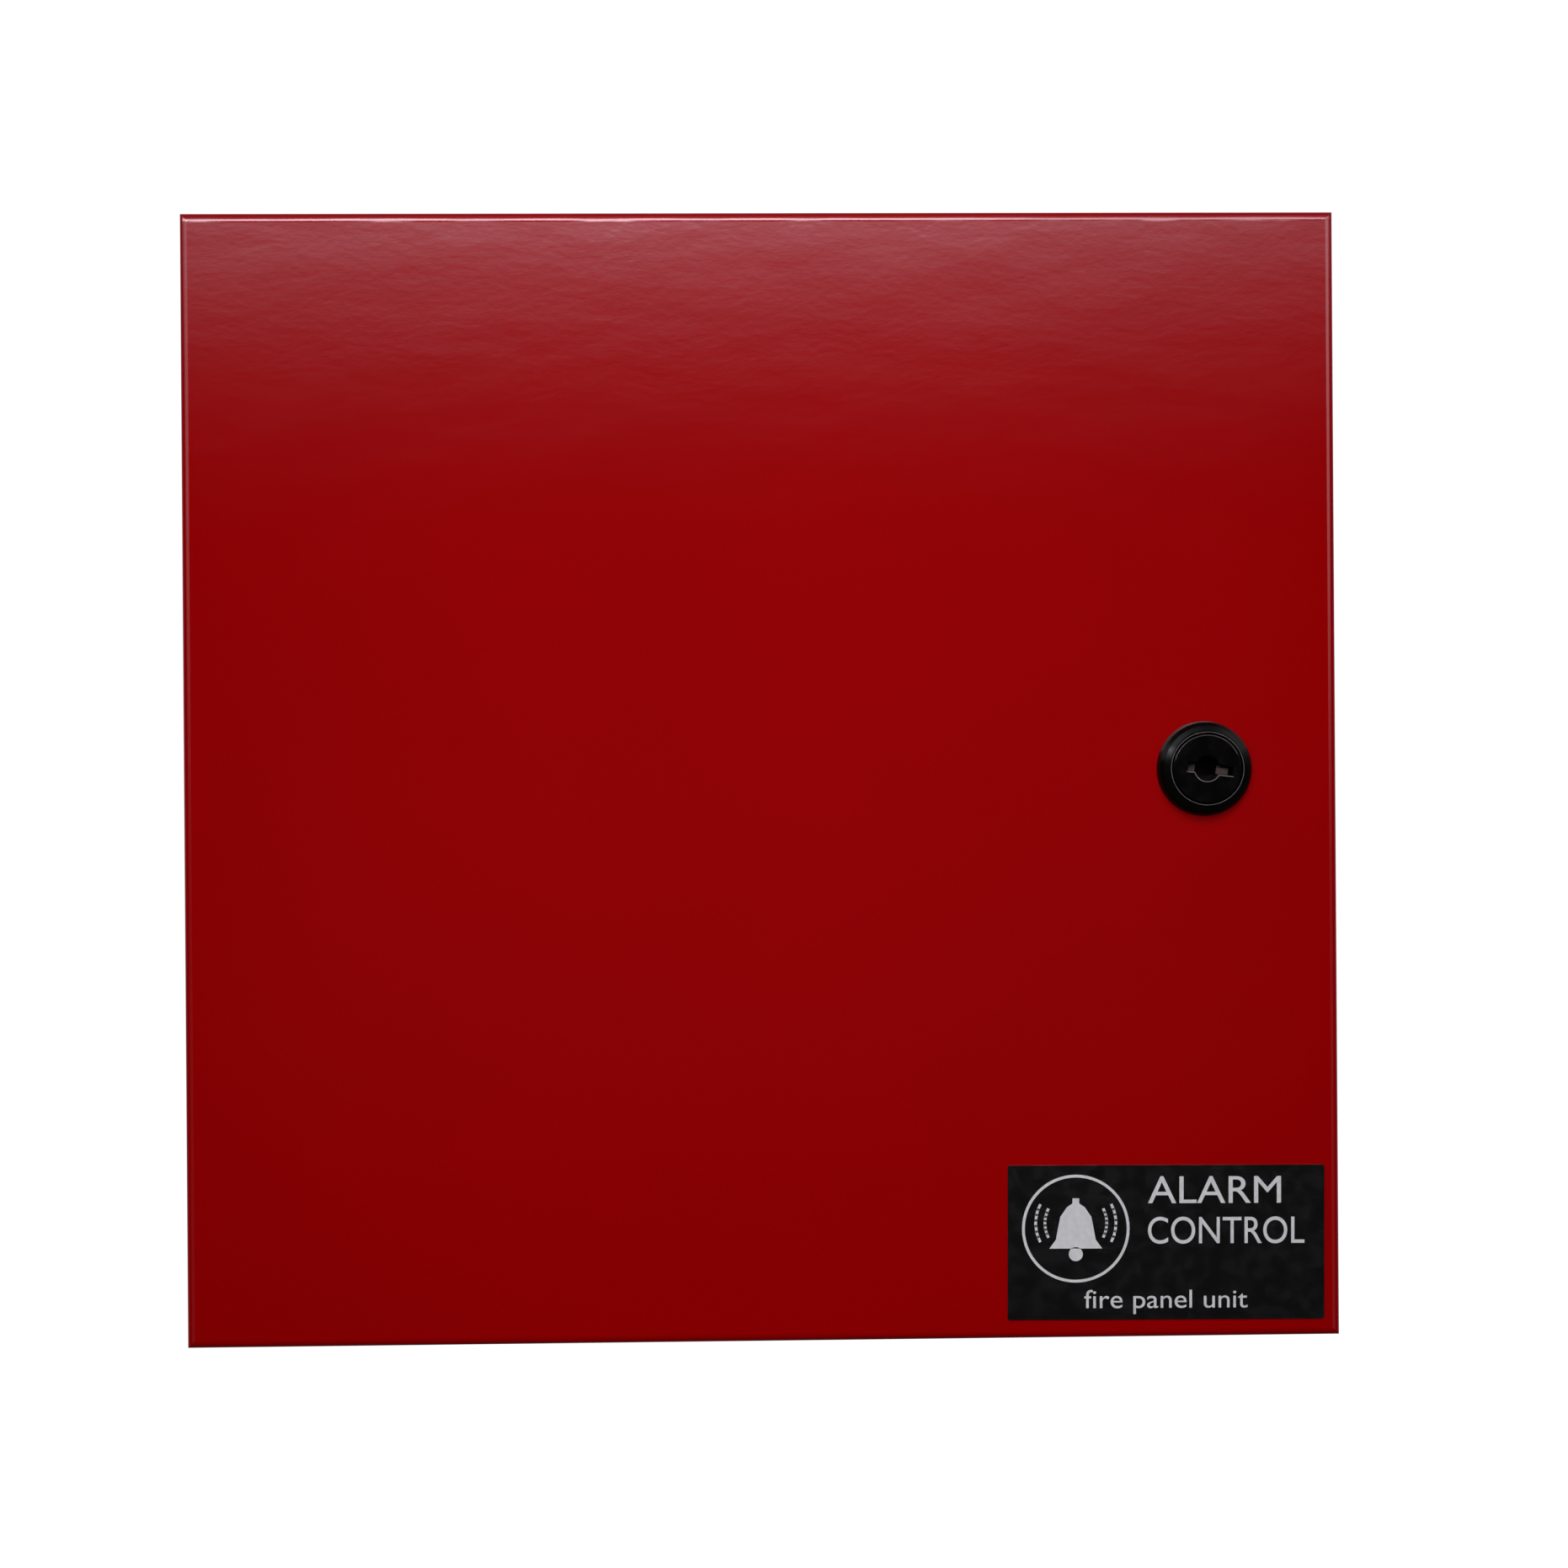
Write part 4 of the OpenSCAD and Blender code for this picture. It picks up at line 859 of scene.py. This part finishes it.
def board_traces():
    """Families of side-by-side copper tracks under the mask, each with one bend and a via at each end."""
    random.seed(11)
    board = box("main_board")
    tracks, pads = (Print(front_of(board), thickness=thickness) for thickness in (0.015, 0.03))
    w, h = size_mm(board)
    right, top = w / 2 - 4, h / 2 - 18
    for _ in range(TRACK_FAMILIES):
        u, v = random.uniform(-right, right - 12), random.uniform(-top, top)
        run, bend, count = random.uniform(6, 20), random.uniform(2, 7), random.randint(2, 5)
        way, turn = random.choice((-1, 1)), random.choice((-1, 1))
        for k in range(count):
            step = k * TRACK_PITCH
            points = [(u + step, v), (u + step, v + way * (run + turn * way * step * 0.4))]
            end_u, end_v = points[-1][0] + turn * bend, points[-1][1] + way * bend
            points += [(end_u, end_v), (end_u + turn * 4, end_v)]
            if all(abs(a) < right and abs(b) < top for a, b in points):
                tracks.stroke(points, TRACK_LINE)
                for a, b in (points[0], points[-1]):
                    pads.disc(a, b, VIA_RADIUS, 14)
    tracks.done("board_tracks", "masked_copper", "board_green")
    pads.done("board_vias", "tinned_leads", "board_green")


def small_parts():
    """Chip resistors and capacitors in neat rows, with tinned ends, kept clear of the larger parts."""
    random.seed(23)
    low, high = box("main_board")
    bodies, dark, ends = bmesh.new(), bmesh.new(), bmesh.new()
    nodes = ("relays", "chips", "wire_connectors", "terminal_blocks", "mains_block", "heat_sink",
             "capacitors", "buzzer", "fuse_clips", "fuse_tubes", "board_spacers", "panel_screws",
             "power_transistors")
    taken = [corners for node in nodes for corners in solids(node)]

    def free(x, z):
        return all(x < a.x - PART_GAP or x > b.x + PART_GAP or z < a.z - PART_GAP or z > b.z + PART_GAP
                   for a, b in taken)

    placed = 0
    for _ in range(PART_TRIES):
        x = low.x + 5 * MM + GRID_X * random.randint(0, GRID_COLUMNS)
        z = low.z + 4 * MM + GRID_Z * random.randint(0, GRID_ROWS)
        if not (free(x, z) and z < high.z - 4 * MM) or placed >= PART_COUNT:
            continue
        long, wide, tall = random.choice(PART_SIZES)
        size = Vector((long, tall, wide)) * MM
        if random.random() < 0.35:
            size.x, size.z = size.z, size.x
        middle = Vector((x, low.y - size.y / 2, z))
        add_block(bodies if random.random() < 0.45 else dark, middle - size / 2, middle + size / 2)
        along = 0 if size.x > size.z else 2
        cap = size * 1.06
        cap[along] = size[along] * 0.22
        for side in (-1, 1):
            spot = middle.copy()
            spot[along] += side * size[along] * 0.42
            add_block(ends, spot - cap / 2, spot + cap / 2)
        taken.append((middle - size / 2, middle + size / 2))
        placed += 1
    add_piece("chip_capacitors", bodies, "ceramic")
    add_piece("chip_resistors", dark, "chip_resin")
    add_piece("chip_part_ends", ends, "tinned_leads")


def chip_legs():
    """Gull-wing legs along the long sides of each chip, and its first-leg dot and plain marks."""
    legs = bmesh.new()
    board_y = box("main_board")[0].y
    wide, thick = Vector((0.22, 0, 0)) * MM, Vector((0, -0.15, 0)) * MM
    for low, high in solids("chips"):
        tall = (board_y - low.y) / 2
        for x in row_along(low, high, LEG_PITCH, fewer=1):
            for z, way in ((low.z, -1), (high.z, 1)):
                reach = Vector((0, 0, way * 0.9 * MM))
                root, foot = Vector((x, board_y - tall, z)), Vector((x, board_y, z))
                for a, b in ((root, root + reach * 0.6 + thick),
                             (foot + reach * 0.5, root + reach * 0.7),
                             (foot + reach * 0.5, foot + reach * 1.6 + thick)):
                    inner, outer = span((a, b))
                    add_block(legs, inner - wide, outer + wide)
        art = Print(front_of((low, high)), thickness=0.015)
        w, h = size_mm((low, high))
        art.disc(-w / 2 + 1.3, -h / 2 + 1.3, 0.45, 16)
        for row in range(2):
            art.bar(0.5, 0.9 - 1.8 * row, w * (0.62 - 0.2 * row), 0.6)
        art.done(f"chip_marks_{round(low.x / MM)}", "ink_grey", "block_black")
    add_piece("chip_legs", legs, "tinned_leads")


def can_tops():
    """Bare aluminium tops on the capacitors, each with a scored star."""
    tops = bmesh.new()
    cans = [(front_of(corners), size_mm(corners)[0] / 2) for corners in solids("capacitors")]
    for at, radius in cans:
        add_drum(tops, at, (radius - 1.3) * MM, 0.06 * MM, sides=56)
    add_piece("can_tops", tops, "can_top", round_walls=True)
    for k, (at, radius) in enumerate(cans):
        art = Print(at, thickness=0.01, lift=0.03)
        for turn in (30, 90, 150):
            art.spoke(0, 0, radius - 2.6, turn, 0.3)
        art.done(f"can_score_{k}", "ink_grey", "pin_steel")


def part_marks():
    """Plain printed marks on the relays, a flat black disc of painted shade for the buzzer's sound hole, and
    the caps and wires of the fuses.
    """
    for k, corners in enumerate(solids("relays")):
        w, h = size_mm(corners)
        art = Print(front_of(corners), thickness=0.02)
        art.bar(0, h / 2 - 3, w * 0.62, 1.3).bar(-1.2, h / 2 - 5.6, w * 0.48, 0.9)
        art.box(0, -2.6, w * 0.6, 5.2, 0.25)
        art.stroke([(-3.4, -2.6), (-0.8, -2.6), (1.2, -1.2)], 0.3).stroke([(1.4, -2.6), (3.4, -2.6)], 0.3)
        art.done(f"relay_marks_{k}", "ink_grey", "relay_white")
    # painted shade: a flat near-black disc stands in for the buzzer's sound hole
    hole = Print(front_of(box("buzzer")), thickness=0.02)
    hole.disc(0, 0, 1.6).done("buzzer_hole_shade", "hole_shade", "block_black")
    caps, wires = bmesh.new(), bmesh.new()
    for low, high in solids("fuse_tubes"):
        middle, radius = (low + high) / 2, (high.y - low.y) / 2
        for end, way in ((low.x, 1), (high.x, -1)):
            spot = Vector((end + way * 2.5 * MM, middle.y, middle.z))
            add_drum(caps, spot, radius + 0.06 * MM, 5.1 * MM, "X")
        add_drum(wires, middle, 0.18 * MM, high.x - low.x - 8 * MM, "X", 10)
    add_piece("fuse_caps", caps, "tinned_leads", round_walls=True)
    add_piece("fuse_wires", wires, "tinned_leads", round_walls=True)


# ---------- pieces on the batteries and in the box ----------

def battery_labels():
    """A rating label on each battery's front, and polarity signs beside its tabs."""
    random.seed(8)
    for k, corners in enumerate(solids("battery_cases")):
        face, (w, h) = front_of(corners), size_mm(corners)
        ground = Print(face, thickness=0.05).bar(0, 2, w - 16, h - 34)
        ground.done(f"battery_label_{k}", "label_white", "label_white")
        words, band = (Print(face, thickness=0.015, lift=0.05) for _ in range(2))
        band.bar(0, h / 2 - 19.5, w - 16, 9)
        label_top = 2 + (h - 34) / 2
        edge = (w - 24) / 2
        words.words("12 V", -edge, label_top - 25, 21, 8.4)
        words.words("5 AH", 4, label_top - 25, 21, 8.4)
        for row in range(4):
            words.dashes(-edge, edge, label_top - 30.5 - row * 3.4, 6, 13, 1.0)
        foot = 2 - (h - 34) / 2 + 5.5
        for step, u in enumerate((-24, -12, 0, 12)):
            words.ring(u, foot, 4.0, 0.5)
            words.spoke(u, foot, 2.4, 45 * step, 0.6)
        words.done(f"battery_words_{k}", "ink_black", "label_white")
        band.done(f"battery_band_{k}", "ink_green", "label_white")
    for k, (low, high) in enumerate(solids("battery_tabs")):
        plus = k % 2 == 1
        lid_front = solids("battery_lids")[k // 2][0].y
        spot = Vector(((low.x + high.x) / 2, lid_front, low.z - 2.0 * MM))
        sign = Print(spot, thickness=0.03)
        sign.bar(0, 0, 4.2, 0.9)
        if plus:
            sign.bar(0, 0, 0.9, 4.2)
        sign.done(f"battery_sign_{k}", "ink_red" if plus else "ink_white", "battery_lid")


def lug_sleeves():
    """The insulated push-on sleeves where the leads meet the battery tabs."""
    colours = ("sleeve_black", "lug_sleeve_blue", "lug_sleeve_blue", "sleeve_red")
    for k, ((low, high), colour) in enumerate(zip(solids("battery_tabs"), colours)):
        bm = bmesh.new()
        grown = Vector((0.7, 1.1, 0)) * MM
        foot, head = Vector((low.x, low.y, high.z - 4.4 * MM)), high + Vector((0, 0, 2.6 * MM))
        add_block(bm, foot - grown, head + grown)
        bmesh.ops.bevel(bm, geom=bm.edges[:], offset=0.5 * MM, segments=3, affect="EDGES")
        add_piece(f"lug_sleeve_{k}", bm, colour)


def connector_pins():
    """Square tinned pins in the mouths of the wire connectors, between the wires."""
    pins = bmesh.new()
    half = Vector((0.45, 0.02, 0.8)) * MM
    for low, high in solids("wire_connectors"):
        for x in row_along(low, high, PIN_PITCH):
            tip = Vector((x, low.y, high.z - 2.2 * MM))
            add_block(pins, tip - half, tip + half)
    add_piece("connector_pins", pins, "tinned_leads")


def box_labels():
    """An earth sign by the stud, and a plain shock warning on the transformer's strap."""
    back = box("box_wrapper")[1].y - 1.2 * MM
    stud = middle_of("earth_stud")
    sign_at = Vector((stud.x, back, stud.z - 13 * MM))
    ground = Print(sign_at, thickness=0.05).disc(0, 0, 5.6)
    ground.done("earth_sign_ground", "ink_green", "label_white")
    sign = Print(sign_at, thickness=0.02, lift=0.05)
    sign.bar(0, 1.6, 0.6, 3.2).bar(0, 0, 6.2, 0.6).bar(0, -1.4, 4.0, 0.6).bar(0, -2.8, 1.8, 0.6)
    sign.done("earth_sign", "ink_white", "label_white")
    strap = front_of(box("transformer_strap"))
    ground = Print(strap, thickness=0.05).bar(0, 0, 26, 15)
    ground.done("shock_sign_ground", "ink_yellow", "label_white")
    mark = Print(strap, thickness=0.02, lift=0.05)
    mark.stroke([(-6.4, -5.0), (6.4, -5.0), (0, 5.6), (-6.4, -5.0), (0, -5.0)], 0.9)
    mark.stroke([(0.9, 2.4), (-1.2, -0.9), (1.0, -0.5), (-0.6, -3.6)], 0.8)
    mark.done("shock_sign", "ink_black", "label_white")


# ---------- light ----------

KEY_ELEVATION = math.radians(40)
KEY_DISTANCE = 1.8
KEY_WATTS = 9.9
FILL_DISTANCE = 0.50
FILL_LIFT = 0.09
FILL_WATTS = 1.8
FILL_SIZE = 0.55
SPOT_WATTS = 17.6
SPOT_DISTANCE = 1.5
SPOT_CONE = math.radians(18)
SPOT_AIM = Vector((-0.005, 0, 0.015))
SOFT_BOXES = (("left", (-1, 0.5, 0.25), 15), ("right", (1, 0.5, 0.25), 15), ("top", (0, 0.5, 1), 12),
              ("back", (0.1, 1, 0.3), 14))
SHOWN_STRENGTH = 1.05
ROOM_STRENGTH = 0.13
WIDE_TINT = (1.0, 0.94, 1.10)
PANEL_TINT = (1.0, 0.76, 0.82)
FADE_HEIGHT, FADE_GLOW, FADE_POWER, FADE_MOST, FADE_SIDE = 0.231, 1.25, 7.0, 2.4, -0.05
WALL_GLOW = 0.34
PANEL_GLOW = 15.0
SIDE_GLOWS = (1.7, 2.6)
WINDOW_GLOW = 90.0
WINDOW_X, WINDOW_Z = -0.50, 0.345
FLOOR_DROP = 1.2
FLOOR_SIZE = 4.6


def lamp(name, kind, place, target, watts, **settings):
    """A soft lamp that points at a target and shows in no reflection."""
    data = bpy.data.lights.new(name, kind)
    data.energy = watts
    for setting, value in settings.items():
        setattr(data, setting, value)
    made = add_object(name, data)
    made.location = place
    made.rotation_mode = "QUATERNION"
    made.rotation_quaternion = (target - place).to_track_quat("-Z", "Y")
    made.visible_glossy = False
    made.visible_camera = False


def make_lights():
    """A soft box high in front, a soft lamp by the camera, a spot that fades towards the door's corners, and
    soft boxes about the box, set behind its front so that they don't reach it."""
    front = front_of(box("door"))
    above = Vector((0, -math.cos(KEY_ELEVATION), math.sin(KEY_ELEVATION)))
    lamp("key", "AREA", front + above * KEY_DISTANCE, front, KEY_WATTS,
         shape="RECTANGLE", size=1.2, size_y=0.6)
    lamp("fill", "AREA", front + Vector((0, -FILL_DISTANCE, FILL_LIFT)), front, FILL_WATTS, size=FILL_SIZE)
    lamp("spot", "SPOT", front + above * SPOT_DISTANCE, front + SPOT_AIM, SPOT_WATTS,
         spot_size=SPOT_CONE, spot_blend=1.0, shadow_soft_size=0.12)
    middle = middle_of("box_wrapper")
    for name, side, watts in SOFT_BOXES:
        place = middle + Vector(side).normalized() * KEY_DISTANCE
        lamp(name, "AREA", place, middle, watts, shape="RECTANGLE", size=0.9, size_y=0.5)


def gloss_light(shader):
    """What the gloss reflects, as two strengths by direction. The wide one is a light ahead that fades
    downwards and a pale wall behind. The other one is a bright panel above the front, a dimmer panel on
    each side and a small window."""
    split = shader.node("ShaderNodeSeparateXYZ")
    shader.link(shader.node("ShaderNodeTexCoord").outputs["Generated"], split.inputs[0])
    x, y, z = split.outputs
    ahead = shader.step(y, -0.25, 0.05, 1.0, 0.0)
    rise = shader.math("POWER", shader.math("MAXIMUM", z, 0.0), FADE_POWER)
    rise = shader.product(rise, FADE_GLOW / FADE_HEIGHT ** FADE_POWER)
    aside = shader.math("POWER", shader.math("ABSOLUTE", shader.math("SUBTRACT", x, FADE_SIDE)), 2.0)
    fade = shader.product(shader.math("MINIMUM", rise, FADE_MOST), shader.step(aside, 0.0, 0.16, 1.0, 0.60),
                          shader.step(z, 0.62, 0.90, 1.0, 0.12), ahead)
    wall = shader.product(shader.step(y, 0.0, 0.9, 0.0, WALL_GLOW), shader.step(z, -0.7, -0.1, 0.3, 1.0))
    panel = shader.product(shader.step(z, 0.250, 0.31, 0.0, PANEL_GLOW), shader.step(z, 0.52, 0.74, 1.0, 0.0),
                           ahead, shader.step(x, 0.08, 0.15, 1.0, 0.45))
    reach = shader.math("ABSOLUTE", x)
    sides = shader.product(shader.step(reach, 0.36, 0.48), shader.step(reach, 0.75, 0.95, 1.0, 0.0),
                           shader.step(z, -0.05, 0.22, 0.08, 1.0), shader.step(x, -0.1, 0.1, *SIDE_GLOWS),
                           ahead)
    off = [shader.math("POWER", shader.math("ABSOLUTE", shader.math("SUBTRACT", along, middle)), 2.0)
           for along, middle in ((x, WINDOW_X), (z, WINDOW_Z))]
    window = shader.product(shader.step(shader.total(*off), 0.002, 0.007, WINDOW_GLOW, 0.0), ahead)
    return shader.total(fade, wall), shader.total(panel, sides, window)


def make_world():
    """White to the camera, an even room to matt surfaces and the gloss's own light to reflections."""
    world = bpy.data.worlds.new("studio")
    scene.world = world
    world.use_nodes = True
    shader = Shader(world.node_tree)
    out = shader.node("ShaderNodeOutputWorld")
    ray = shader.node("ShaderNodeLightPath")
    shown, seen = (shader.background(strength, (1, 1, 1)) for strength in (SHOWN_STRENGTH, ROOM_STRENGTH))
    gloss = shader.node("ShaderNodeAddShader")
    for light, tint, target in zip(gloss_light(shader), (WIDE_TINT, PANEL_TINT), gloss.inputs):
        shader.link(shader.background(light, tint), target)
    for test, light in (("Is Glossy Ray", gloss.outputs[0]), ("Is Camera Ray", shown)):
        blend = shader.node("ShaderNodeMixShader")
        for source, target in zip((ray.outputs[test], seen, light), blend.inputs):
            shader.link(source, target)
        seen = blend.outputs[0]
    shader.link(seen, out.inputs["Surface"])


def make_floor():
    """A plain pale floor, far enough below to stay out of the front view."""
    bm = bmesh.new()
    bmesh.ops.create_grid(bm, x_segments=1, y_segments=1, size=FLOOR_SIZE / 2)
    floor = add_object("floor", to_mesh("floor", bm))
    floor.location = (0, 0, box("door")[0].z - FLOOR_DROP)
    made = Finish("floor", (0.90, 0.90, 0.90), 0.8, Emission_Color=(1, 1, 1, 1), Emission_Strength=0.86)
    made.mottle(0.6, 0.01).wander(0.3, 0.03)
    floor.data.materials.append(made.made)
    floor.visible_glossy = False
    floor.visible_diffuse = False


# ---------- the scene ----------

make_camera()
dress()
nameplate_print()
lock_edges()
door_label_print()
bezel_print()
key_icons()
lcd_marks()
board_print()
board_traces()
small_parts()
chip_legs()
can_tops()
part_marks()
battery_labels()
lug_sleeves()
connector_pins()
box_labels()
make_lights()
make_world()
make_floor()
scene.view_settings.view_transform = "Standard"
